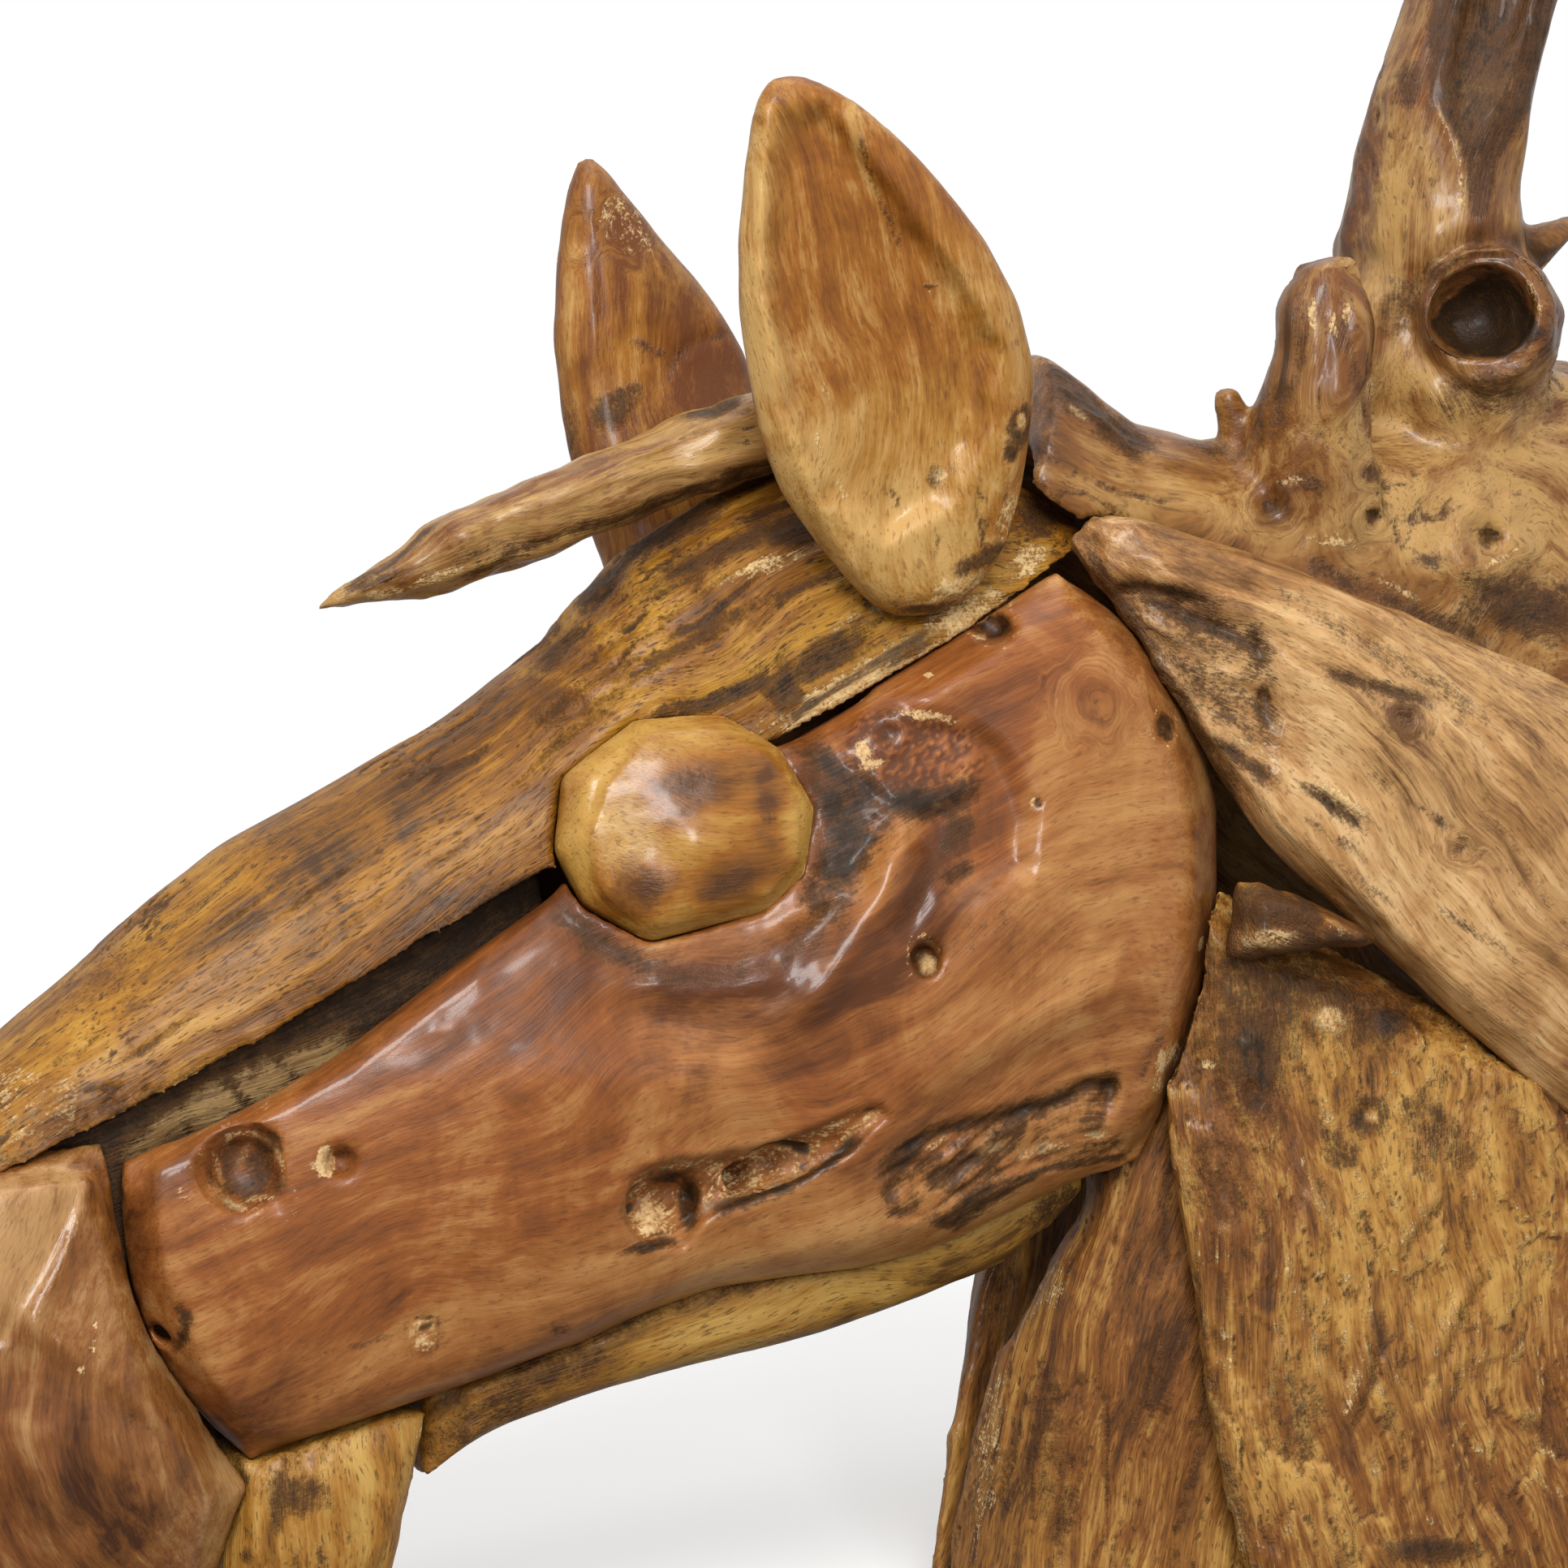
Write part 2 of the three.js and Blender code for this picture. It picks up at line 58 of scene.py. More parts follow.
# Lengths below are millimetres in the frame of the solids, and the meshes are metres
MM = 0.001
MERGE = 0.00001

# The sheet is an upright picture plane through the near side of the head, square to the viewer.
# Marks are placed on it: u runs to the right and v up, from the foot of the sheet's middle line.
VIEW_YAW = math.radians(25)
VIEW_TILT = math.radians(6)
VIEW_DISTANCE = 1600.0
SHEET_CENTRE = np.array((-112.0, -70.0, 352.0))
SHEET_SIZE = 579.6

# Which side of the head a piece is on, or both
NEAR = 1.0
FAR = -1.0
ASTRIDE = 0.0

# How a solid becomes a skin
SHARP_ANGLE = math.radians(50)
SHARP_STEP = 4 * MM
SHARP_HOLD = (2.0, 11.0)
HOLD_LEVELS = 12
STEP_ROUNDS = 5

# A point shows fully once it faces the viewer by the second of these
FACING = (-0.05, 0.25)
RAGGED_SIZE = 9.0
RAGGED_SHARE = 0.22
UNSEEN_REACH = 9.0

# Where the edges and rings of marks lie, in shares of the mark's size
DARK_PATCH_REACH = (0.25, 1.3)
PALE_END = 1.2
DULL_REACH = (0.5, 1.2)
HOLE_WALL = (0.5, 1.0)
HOLE_DARK = (0.5, 1.05)
HOLE_DULL = (0.7, 1.1)
HOLE_RIM = (1.12, 0.16)
KNOT_HOLD = (0.5, 1.9)
KNOT_LIP = (0.85, 0.3)
KNOT_PIT = (0.0, 0.45)
PLUG_RING = (1.0, 0.22)
PLUG_DISC = (0.75, 1.0)

# How the grain blends between spines, how it sways, and how far each seed shifts it
SPINE_BLEND = 60.0
GRAIN_SWAYS = ((11.0, 90.0, 5), (1.8, 26.0, 7))
SEED_SHIFT = 40.0

# Each kind of relief adds its own number to the seed of its piece
SWELL_SEED = 11
CHECK_SEED = 31
TORN_SEED = 47
ROT_SEED = 53
CHECK_SIZE = 45.0
CHECK_WIDTH = 0.07

# How often a line's corners are cut
CORNER_ROUNDS = 3

# Primes that scatter whole-number points
SCATTER = (73856093, 19349663, 83492791)

# Noises of the wood: cells in a metre on three axes, then detail, roughness and warp
BANDS = ((3.5, 26.0, 26.0), 5.0, 0.62, 1.4)
STREAKS = ((11.0, 190.0, 190.0), 5.0, 0.62, 0.5)
FINE_FIBRES = ((55.0, 1100.0, 1100.0), 3.0, 0.6, 0.0)
SHORT_FIBRES = ((190.0, 950.0, 950.0), 2.0, 0.5, 0.0)
MOTTLES = ((17.0, 17.0, 17.0), 6.0, 0.62, 1.0)
PATCHES = ((8.0, 8.0, 8.0), 3.0, 0.5, 0.6)
GRIME = ((150.0, 150.0, 150.0), 5.0, 0.7, 0.0)
GRIT = ((700.0, 700.0, 700.0), 3.0, 0.6, 0.0)

# How far each noise swings the wood from dark to light
BAND_SWING = 2.2
MOTTLE_SWING = 1.4
STREAK_SWING = 2.2

# Where the tones lie from dark to light: deep, main and light, then the two of dry fibres
PLAIN_STOPS = (0.10, 0.48, 0.92)
WARM_STOPS = (0.14, 0.55, 1.0)
DRY_STOPS = (0.25, 0.65)

# From where to where each mark comes in
WARM_EDGE = (0.40, 0.62)
PORE_EDGE = (0.56, 0.70)
TORN_EDGE = (0.30, 0.62)
PALE_EDGE = (0.04, 0.22)
STAIN_AND_SHADE_EDGE = (0.02, 0.2)
UMBER_EDGE = (0.12, 0.66)
CHAR_AND_SHADE_EDGE = (0.62, 1.0)

# How fully torn fibres, soaked wood and burnt wood cover the wood's own colour; the soaked and burnt
# colours also lay in painted shade
TORN_COVER = 0.92
UMBER_COVER = 0.9
CHAR_AND_SHADE_COVER = 0.85
BUMP_DEPTH = 0.001
SPECULAR = 0.25
COAT_ROUGHNESS = 0.16

# What roughens the wood, what raises it and what keeps the lacquer off
GRIME_ROUGHNESS = 0.25
FIBRE_ROUGHNESS = 0.3
SUNK_ROUGHNESS = 0.18
FIBRE_RELIEF = 0.7
STREAK_RELIEF = 0.9
PORE_RELIEF = -0.4
GRIME_RELIEF = 2.2
GRIT_RELIEF = 0.6
UMBER_BARE = 0.6
BARE_LOSS = 0.8

# Lamps: name, place and the side of the square, in metres
LAMPS = (
    ("key", (-1.0, -1.9, 1.8), 1.0),
    ("glint", (-0.45, -2.1, 0.95), 0.3),
    ("top", (0.2, 0.0, 2.6), 1.6),
)
SENSOR_WIDTH = 36.0
FARTHEST = 100.0


def tone(name, use, colour):
    """A colour property."""
    return bpy.props.FloatVectorProperty(
        name=name, description=use, subtype="COLOR", size=3, min=0, max=1, default=colour
    )


def length(name, use, metres):
    """A length property."""
    return bpy.props.FloatProperty(
        name=name, description=use, unit="LENGTH", min=0, precision=5, default=metres
    )


def share(name, use, value):
    """A property from none to all."""
    return bpy.props.FloatProperty(
        name=name, description=use, subtype="FACTOR", min=0, max=1, default=value
    )


def strength(name, use, value, unit="NONE"):
    """The strength of a light."""
    return bpy.props.FloatProperty(name=name, description=use, unit=unit, min=0, default=value)


def wood_group(label, deep, mid, warm, light, gloss):
    """A property group that holds the tones and the gloss of one wood."""
    tones = {
        "deep": tone("Deep", "Colour of the late wood and the hollows", deep),
        "mid": tone("Mid", "Main colour of the wood", mid),
        "warm": tone("Warm", "Main colour where the wood is redder or browner", warm),
        "light": tone("Light", "Colour of the palest fibres", light),
        "gloss": share("Gloss", "How thick the lacquer lies", gloss),
    }
    return type(label, (bpy.types.PropertyGroup,), {"__annotations__": tones})


CheekWood = wood_group(
    "CheekWood", (0.095, 0.028, 0.007), (0.292, 0.110, 0.027),
    (0.245, 0.075, 0.015), (0.430, 0.212, 0.066), 0.28,
)
LogWood = wood_group(
    "LogWood", (0.055, 0.022, 0.005), (0.250, 0.098, 0.004),
    (0.184, 0.064, 0.004), (0.390, 0.194, 0.022), 0.06,
)
EarWood = wood_group(
    "EarWood", (0.130, 0.038, 0.006), (0.315, 0.140, 0.020),
    (0.265, 0.092, 0.010), (0.470, 0.275, 0.086), 0.22,
)
EyeWood = wood_group(
    "EyeWood", (0.085, 0.030, 0.007), (0.260, 0.112, 0.014),
    (0.250, 0.090, 0.009), (0.410, 0.225, 0.045), 0.30,
)
MuzzleWood = wood_group(
    "MuzzleWood", (0.055, 0.018, 0.005), (0.185, 0.062, 0.014),
    (0.200, 0.072, 0.015), (0.370, 0.200, 0.075), 0.32,
)
JawWood = wood_group(
    "JawWood", (0.100, 0.042, 0.008), (0.360, 0.182, 0.028),
    (0.300, 0.125, 0.017), (0.470, 0.280, 0.070), 0.12,
)
ManeWood = wood_group(
    "ManeWood", (0.120, 0.050, 0.015), (0.430, 0.235, 0.086),
    (0.320, 0.148, 0.044), (0.590, 0.375, 0.170), 0.22,
)
RootWood = wood_group(
    "RootWood", (0.055, 0.022, 0.006), (0.210, 0.086, 0.017),
    (0.160, 0.056, 0.012), (0.380, 0.215, 0.068), 0.24,
)
NeckWood = wood_group(
    "NeckWood", (0.065, 0.024, 0.006), (0.280, 0.118, 0.020),
    (0.200, 0.070, 0.012), (0.450, 0.245, 0.058), 0.14,
)
InnerWood = wood_group(
    "InnerWood", (0.020, 0.011, 0.005), (0.180, 0.100, 0.034),
    (0.130, 0.066, 0.022), (0.300, 0.190, 0.075), 0.0,
)


class CarvingSizes(bpy.types.PropertyGroup):
    """Sizes of the relief that is carved into the pieces."""

    fine_cell: length("Fine cell", "Spacing of the mesh on pieces with fine relief", 0.0020)
    near_cell: length("Near cell", "Spacing of the mesh on the near pieces", 0.0024)
    far_cell: length("Far cell", "Spacing of the mesh on the far pieces", 0.0033)
    easing: length("Easing", "How far a facet may be rounded away", 0.0025)
    # Umber and char colour the real rot, soak and burns, and also the painted shade laid into the stain
    # mark; pale also colours a painted highlight.
    umber: tone("Umber", "Colour of rotten and oil-soaked wood", (0.056, 0.021, 0.004))
    char: tone("Char", "Colour of burnt wood", (0.015, 0.008, 0.003))
    pale: tone("Pale", "Colour of torn, dry and bleached fibres", (0.62, 0.43, 0.20))


class StageSettings(bpy.types.PropertyGroup):
    """The floor, the backdrop and the light."""

    floor_size: length("Floor size", "Half the side of the floor", 1.5)
    floor_gap: length("Floor gap", "How far the floor lies below the foot", 0.0005)
    floor: tone("Floor", "Colour of the floor", (0.97, 0.97, 0.965))
    air: tone("Air", "Colour of the room's even light", (1.0, 1.0, 1.0))
    air_above: strength("Air above", "Strength of the even light from overhead", 1.0)
    air_below: strength("Air below", "Strength of the even light from underfoot", 0.15)
    key_power: strength("Key power", "Power of the large front light", 60, "POWER")
    glint_power: strength("Glint power", "Power of the small lamp beside the viewer", 9, "POWER")
    top_power: strength("Top power", "Power of the overhead light", 10, "POWER")


class HorseHeadSettings(bpy.types.PropertyGroup):
    """Everything a user would change."""

    cheek: bpy.props.PointerProperty(type=CheekWood)
    log: bpy.props.PointerProperty(type=LogWood)
    ear: bpy.props.PointerProperty(type=EarWood)
    eye: bpy.props.PointerProperty(type=EyeWood)
    muzzle: bpy.props.PointerProperty(type=MuzzleWood)
    jaw: bpy.props.PointerProperty(type=JawWood)
    mane: bpy.props.PointerProperty(type=ManeWood)
    root: bpy.props.PointerProperty(type=RootWood)
    neck: bpy.props.PointerProperty(type=NeckWood)
    inner: bpy.props.PointerProperty(type=InnerWood)
    carving: bpy.props.PointerProperty(type=CarvingSizes)
    stage: bpy.props.PointerProperty(type=StageSettings)


# The viewer

def view_axes():
    """The viewer's forward, right and up directions."""
    level = math.cos(VIEW_TILT)
    forward = np.array((math.sin(VIEW_YAW) * level, math.cos(VIEW_YAW) * level, -math.sin(VIEW_TILT)))
    right = np.array((math.cos(VIEW_YAW), -math.sin(VIEW_YAW), 0.0))
    return forward, right, np.cross(right, forward)


FORWARD, RIGHT, UP = view_axes()
EYE_POINT = SHEET_CENTRE - FORWARD * VIEW_DISTANCE


# Plain shapes of a curve

def smooth_step(low, high, value):
    """0 below low, 1 above high, and an even S between them."""
    t = np.clip((value - low) / (high - low), 0.0, 1.0)
    return t * t * (3.0 - 2.0 * t)


def bell(value, middle=0.0, width=1.0):
    """1 at the middle, falling away evenly on both sides."""
    return np.exp(-(((value - middle) / width) ** 2))


def lattice(cells, seed):
    """A fixed scatter of values from 0 to 1, one for each whole-number point."""
    n = cells.astype(np.int64)
    mixed = n[:, 0] * SCATTER[0] ^ n[:, 1] * SCATTER[1] ^ n[:, 2] * SCATTER[2] ^ (seed * 40503 + 977)
    mixed = (mixed ^ (mixed >> 13)) * 1274126177
    mixed = mixed ^ (mixed >> 16)
    return (mixed & 0xFFFF) / 65535.0


def cloud(points, seed):
    """Smooth noise from -1 to 1 with lumps one unit across."""
    base = np.floor(points)
    t = points - base
    t = t * t * (3.0 - 2.0 * t)
    total = np.zeros(len(points))
    for corner in itertools.product((0, 1), repeat=3):
        weight = np.prod(np.where(corner, t, 1.0 - t), axis=1)
        total += weight * lattice(base + corner, seed)
    return total * 2.0 - 1.0


def clouds(points, seed, octaves=3):
    """Noise with finer lumps on coarser ones."""
    total = np.zeros(len(points))
    for octave in range(octaves):
        total += cloud(points * 2.03**octave, seed + 17 * octave) * 0.5**octave
    return total


def softened(points):
    """A line through a few points with its corners cut round."""
    line = np.array(points, float)
    for _ in range(CORNER_ROUNDS):
        first, second = line[:-1], line[1:]
        cut = np.stack((first * 0.75 + second * 0.25, first * 0.25 + second * 0.75), axis=1)
        line = np.vstack((line[:1], cut.reshape(-1, 2), line[-1:]))
    return line


def along_line(line, u, v, run_on=True):
    """For each sheet point: how far along a line, how far across it, and how far off it."""
    here = np.stack((u, v), axis=1)
    best = np.full(len(u), np.inf)
    along = np.zeros(len(u))
    across = np.zeros(len(u))
    start = 0.0
    last = len(line) - 2
    for index, (first, second) in enumerate(zip(line[:-1], line[1:])):
        span = np.hypot(*(second - first))
        heading = (second - first) / span
        offset = here - first
        run = offset @ heading
        low = -np.inf if run_on and index == 0 else 0.0
        high = np.inf if run_on and index == last else span
        held = np.clip(run, low, high)
        away = offset - held[:, None] * heading
        distance = np.hypot(away[:, 0], away[:, 1])
        nearer = distance < best
        side = np.sign(heading[0] * away[:, 1] - heading[1] * away[:, 0])
        best = np.where(nearer, distance, best)
        along = np.where(nearer, start + held, along)
        across = np.where(nearer, side * distance, across)
        start += span
    return along, across, best


# From a solid to a fine skin

def merged_copy(node):
    """A merged copy of a node's solid, with points strung along its sharp edges."""
    bm = bmesh.new()
    bm.from_mesh(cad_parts[node].data)
    bmesh.ops.remove_doubles(bm, verts=bm.verts, dist=MERGE)
    sharp = []
    for edge in bm.edges:
        if len(edge.link_faces) == 2 and edge.calc_face_angle() > SHARP_ANGLE:
            steps = max(1, int(edge.calc_length() / SHARP_STEP))
            first, second = (vert.co.copy() for vert in edge.verts)
            sharp += [first.lerp(second, step / steps) for step in range(steps + 1)]
    mesh = bpy.data.meshes.new(node + "_wood")
    bm.to_mesh(mesh)
    bm.free()
    return mesh, sharp


def worked_in(piece):
    """Turns the piece's modifiers into its mesh, and gives the mesh's points."""
    graph = bpy.context.evaluated_depsgraph_get()
    mesh = bpy.data.meshes.new_from_object(piece.evaluated_get(graph))
    rough = piece.data
    mesh.name = rough.name
    piece.modifiers.clear()
    piece.data = mesh
    bpy.data.meshes.remove(rough)
    return values_of(mesh.vertices, "co")


def values_of(items, name):
    """A three-part value of every item of a mesh."""
    flat = np.zeros(len(items) * 3, np.float32)
    items.foreach_get(name, flat)
    return flat.reshape(-1, 3).astype(float)


def smoothing(piece, name, rounds, group=""):
    """Adds a smoothing modifier."""
    modifier = piece.modifiers.new(name, "SMOOTH")
    modifier.factor = 0.5
    modifier.iterations = rounds
    modifier.vertex_group = group


def hold_edges(piece, points, sharp):
    """A vertex group that leaves the sharp edges out of the easing."""
    group = piece.vertex_groups.new(name="soft")
    if not sharp:
        group.add(range(len(points)), 1.0, "REPLACE")
        return
    tree = KDTree(len(sharp))
    for index, place in enumerate(sharp):
        tree.insert(place, index)
    tree.balance()
    distance = np.array([tree.find(point)[2] for point in points]) / MM
    level = np.round(smooth_step(*SHARP_HOLD, distance) * HOLD_LEVELS).astype(int)
    for step in range(HOLD_LEVELS + 1):
        chosen = np.flatnonzero(level == step).tolist()
        if chosen:
            group.add(chosen, step / HOLD_LEVELS, "REPLACE")


def fine_skin(node, cell, easing, rounds, crisp):
    """A new object with a fine, even mesh of a node's form, its facets eased round."""
    mesh, sharp = merged_copy(node)
    piece = bpy.data.objects.new(node + "_wood", mesh)
    bpy.context.scene.collection.objects.link(piece)
    remesh = piece.modifiers.new("even cells", "REMESH")
    remesh.mode = "VOXEL"
    remesh.voxel_size = cell
    smoothing(piece, "cell steps", STEP_ROUNDS)
    before = worked_in(piece)
    hold_edges(piece, before, sharp if crisp else [])
    smoothing(piece, "facets", rounds, "soft")
    after = worked_in(piece)
    piece.vertex_groups.clear()
    move = after - before
    far = np.maximum(np.linalg.norm(move, axis=1, keepdims=True), 1e-9)
    eased = before + move * np.minimum(1.0, easing / far)
    piece.data.vertices.foreach_set("co", eased.astype(np.float32).ravel())
    piece.data.update()
    return piece


class Skin:
    """One piece's surface while it is carved. Heights and places are in millimetres."""

    def __init__(self, node, cell, side, spines, seed, rounds=140, ease=1.0, crisp=True):
        carving = bpy.context.scene.horse_head.carving
        self.node = node
        self.seed = seed
        self.piece = fine_skin(node, cell, carving.easing * ease, rounds, crisp)
        self.points = values_of(self.piece.data.vertices, "co") / MM
        self.normals = values_of(self.piece.data.vertices, "normal")
        self.look(side)
        self.lay_grain(spines)
        count = len(self.points)
        self.height = np.zeros(count)
        self.press = np.zeros(count)
        self.stain = np.zeros(count)
        self.pale = np.zeros(count)
        self.dull = np.zeros(count)
        self.tone = np.zeros(count)
        self.warm = np.zeros(count)

    def look(self, side):
        """Where each point shows on the sheet, the far side as in a mirror."""
        flip = np.ones(len(self.points)) * side
        if side == ASTRIDE:
            flip = np.where(self.points[:, 1] > 0.0, FAR, NEAR)
        mirror = np.stack((np.ones_like(flip), flip, np.ones_like(flip)), axis=1)
        ray = self.points * mirror - EYE_POINT
        depth = ray @ FORWARD
        self.u = ray @ RIGHT / depth * VIEW_DISTANCE
        self.v = ray @ UP / depth * VIEW_DISTANCE + SHEET_CENTRE[2]
        ray /= np.linalg.norm(ray, axis=1, keepdims=True)
        facing = -np.sum(ray * self.normals * mirror, axis=1)
        self.outward = -ray * mirror
        self.seen = smooth_step(*FACING, facing)
        self.ragged = clouds(self.points / RAGGED_SIZE, self.seed + 3) * RAGGED_SHARE

    def lay_grain(self, spines):
        """Distances along, across and into the grain, which flows from spine to spine."""
        self.along = np.zeros(len(self.points))
        self.across = np.zeros(len(self.points))
        total = np.zeros(len(self.points))
        for spine in spines:
            along, across, _ = along_line(softened(spine), self.u, self.v)
            _, _, distance = along_line(softened(spine), self.u, self.v, False)
            weight = 1.0 / (distance**2 + SPINE_BLEND) ** 2
            self.along += weight * along
            self.across += weight * across
            total += weight
        self.along /= total
        self.across /= total
        for sway, size, seed in GRAIN_SWAYS:
            self.across += sway * clouds(self.points / size, self.seed + seed, 2)
        self.deep = self.points[:, 1] + SEED_SHIFT * self.seed

    def grain(self, run, width):
        """Grain coordinates in cells of a given length and width."""
        return np.stack((self.along / run, self.across / width, self.deep / width), axis=1)

    def spot(self, at, size, turn=0.0):
        """How far each point is from a mark's middle: its reach, in shares of the mark's size."""
        if np.isscalar(size):
            size = (size, size)
        lean = math.radians(turn)
        du = self.u - at[0]
        dv = self.v - at[1]
        run = (du * math.cos(lean) + dv * math.sin(lean)) / size[0]
        rise = (dv * math.cos(lean) - du * math.sin(lean)) / size[1]
        reach = np.hypot(run, rise) * (1.0 + self.ragged)
        return np.where(self.seen > 0.0, reach, UNSEEN_REACH)

    def disc(self, reach, inner, outer):
        """1 up to the inner reach and 0 past the outer one, where the viewer sees it."""
        return (1.0 - smooth_step(inner, outer, reach)) * self.seen

    def within(self, outline, soft=3.0, shown=None):
        """1 inside an outline on the sheet and 0 outside, with a soft and ragged edge."""
        line = np.array([*outline, outline[0]], float)
        _, _, distance = along_line(line, self.u, self.v, False)
        inner = np.zeros(len(self.u), bool)
        for first, second in zip(line[:-1], line[1:]):
            spans = (first[1] > self.v) != (second[1] > self.v)
            rise = second[1] - first[1] if second[1] != first[1] else 1.0
            crossing = first[0] + (self.v - first[1]) * (second[0] - first[0]) / rise
            inner ^= spans & (self.u < crossing)
        reach = np.where(inner, distance, -distance) + self.ragged * min(soft, 5.0)
        return smooth_step(-0.5 * soft, 0.5 * soft, reach) * (self.seen if shown is None else shown)

    def mark(self, name, amount):
        """Raises one of the marks where the amount is above what is there."""
        setattr(self, name, np.maximum(getattr(self, name), amount))

    def warmed(self, at, size, amount, turn=0.0):
        """A broad change towards the warm tone, or away from it below nought."""
        self.warm += amount * bell(self.spot(at, size, turn)) * self.seen

    def ripples(self, at, wave, height, mask):
        """Wavering rings round a point."""
        reach = self.spot(at, 1.0) + 5.0 * clouds(self.points / 7.0, self.seed + 71, 2)
        ring = np.sin(reach * 2.0 * math.pi / wave)
        self.height += height * ring * mask
        self.tone += 0.3 * ring * mask

    def dent(self, at, size, depth, turn=0.0):
        """A soft hollow, or a bump where the depth is below nought."""
        self.press -= depth * bell(self.spot(at, size, turn)) * self.seen

    def darkened(self, at, size, amount, turn=0.0):
        """A dark patch."""
        patch = amount * self.disc(self.spot(at, size, turn), *DARK_PATCH_REACH)
        self.mark("stain", patch)
        self.pale *= 1.0 - patch

    def paled(self, at, size, amount, turn=0.0, edge=0.3):
        """A pale patch."""
        patch = amount * self.disc(self.spot(at, size, turn), edge, PALE_END)
        self.mark("pale", patch)
        self.stain *= 1.0 - patch

    def dulled(self, at, size):
        """A patch that the lacquer has sunk into."""
        self.mark("dull", self.disc(self.spot(at, size), *DULL_REACH))

    def toned(self, at, size, amount, turn=0.0):
        """A broad change towards the light tone, or the deep one below nought."""
        self.tone += amount * bell(self.spot(at, size, turn)) * self.seen

    def hole(self, at, size, depth, turn=0.0, rim=0.0, dark=0.75):
        """A hole with steep sides, dark inside, and a pale rim where asked."""
        reach = self.spot(at, size, turn)
        self.press -= depth * self.disc(reach, *HOLE_WALL)
        self.mark("stain", dark * self.disc(reach, *HOLE_DARK))
        self.mark("dull", self.disc(reach, *HOLE_DULL))
        ring = bell(reach, *HOLE_RIM) * self.seen
        self.mark("pale", rim * ring)

    def knot(self, at, size, lift=0.8, core=0.35, turn=0.0, dark=0.6):
        """Grain that runs in rings round a dark core, with a lip round it."""
        reach = self.spot(at, size, turn)
        whole = size if np.isscalar(size) else max(size)
        hold = 0.75 * self.disc(reach, *KNOT_HOLD)
        ring = reach * whole * 0.8 + 2.5 * clouds(self.points / 6.0, self.seed + 9, 2)
        self.across = self.across * (1.0 - hold) + ring * hold
        self.along = self.along * (1.0 - hold) + at[0] * hold
        self.press += lift * bell(reach, *KNOT_LIP) * self.seen
        self.press -= lift * 1.3 * bell(reach, *KNOT_PIT) * self.seen
        self.tone -= 0.22 * bell(reach) * self.seen
        centre = dark * self.disc(reach, core * 0.5, core * 1.8)
        self.mark("stain", centre)

    def plug(self, at, radius, pale):
        """A filled round hole: a rough pale disc in a darker ring."""
        reach = self.spot(at, radius)
        ring = bell(reach, *PLUG_RING) * self.seen
        self.press -= 0.6 * ring
        self.mark("stain", 0.3 * ring)
        disc = self.disc(reach, *PLUG_DISC)
        self.mark("pale", pale * disc)
        self.mark("dull", disc)

    def fold(self, path, width, depth, stain=0.0, pale=0.0):
        """A groove along a line, or a ridge where the depth is below nought."""
        line = softened(path)
        _, _, distance = along_line(line, self.u, self.v, False)
        ends = np.minimum(
            np.hypot(self.u - line[0][0], self.v - line[0][1]),
            np.hypot(self.u - line[-1][0], self.v - line[-1][1]),
        )
        fade = smooth_step(0.0, 2.5 * width, ends) * 0.7 + 0.3
        reach = distance / width * (1.0 + self.ragged)
        band = bell(reach) * self.seen
        self.press -= depth * band * fade
        self.mark("stain", stain * band * fade)
        self.mark("pale", pale * band * fade)
        self.stain *= 1.0 - pale * band * fade

    def swells(self, size, height):
        """Broad unevenness of a hand-shaped face."""
        self.height += height * clouds(self.points / size, self.seed + SWELL_SEED, 2)

    def fibres(self, run, width, height, stain=0.0, seed=23, mask=1.0):
        """Long raised fibres, with the valleys between them darker."""
        wave = clouds(self.grain(run, width), self.seed + seed, 2)
        self.height += height * (wave - 0.4) * mask
        self.mark("stain", stain * smooth_step(0.25, 0.9, -wave) * mask)

    def checks(self, run, width, depth, rarity, stain):
        """Drying cracks: thin lines along the grain, in places."""
        wave = cloud(self.grain(run, width), self.seed + CHECK_SEED)
        patch = cloud(self.points / CHECK_SIZE, self.seed + CHECK_SEED + 1)
        line = bell(wave, 0.0, CHECK_WIDTH) * smooth_step(rarity, rarity + 0.3, patch)
        self.height -= depth * line
        self.mark("stain", stain * line)

    def torn(self, size, run, width, depth):
        """Layers torn away one under the other, with jagged edges along the grain and painted shade at the
        foot of each step.
        """
        field = 1.3 * clouds(self.grain(size * 2.2, size * 0.7), self.seed + TORN_SEED, 2)
        field += 0.5 * clouds(self.points / size, self.seed + TORN_SEED + 6, 2)
        field += 0.5 * cloud(self.grain(run, width), self.seed + TORN_SEED + 2)
        field += 0.14 * cloud(self.grain(run * 0.3, width * 0.25), self.seed + TORN_SEED + 4)
        layer = np.floor(field * 1.7)
        part = field * 1.7 - layer
        self.height -= depth * (layer + 2.0 + smooth_step(0.86, 1.0, part)) * 0.5
        lip = smooth_step(0.62, 0.84, part) * (1.0 - smooth_step(0.92, 1.0, part))
        # Painted shade: the wood is darkened at the foot of each step, under its edge.
        under = 1.0 - smooth_step(0.0, 0.3, part)
        self.tone += 0.08 * (layer % 2.0) - 0.04
        self.tone += 0.2 * lip
        self.mark("pale", 0.3 * lip)
        self.mark("stain", 0.34 * under)

    def rot(self, size, amount, rarity):
        """Dark patches where oil has soaked in."""
        patch = clouds(self.points / size, self.seed + ROT_SEED, 4)
        self.mark("stain", amount * smooth_step(rarity, rarity + 0.35, patch))

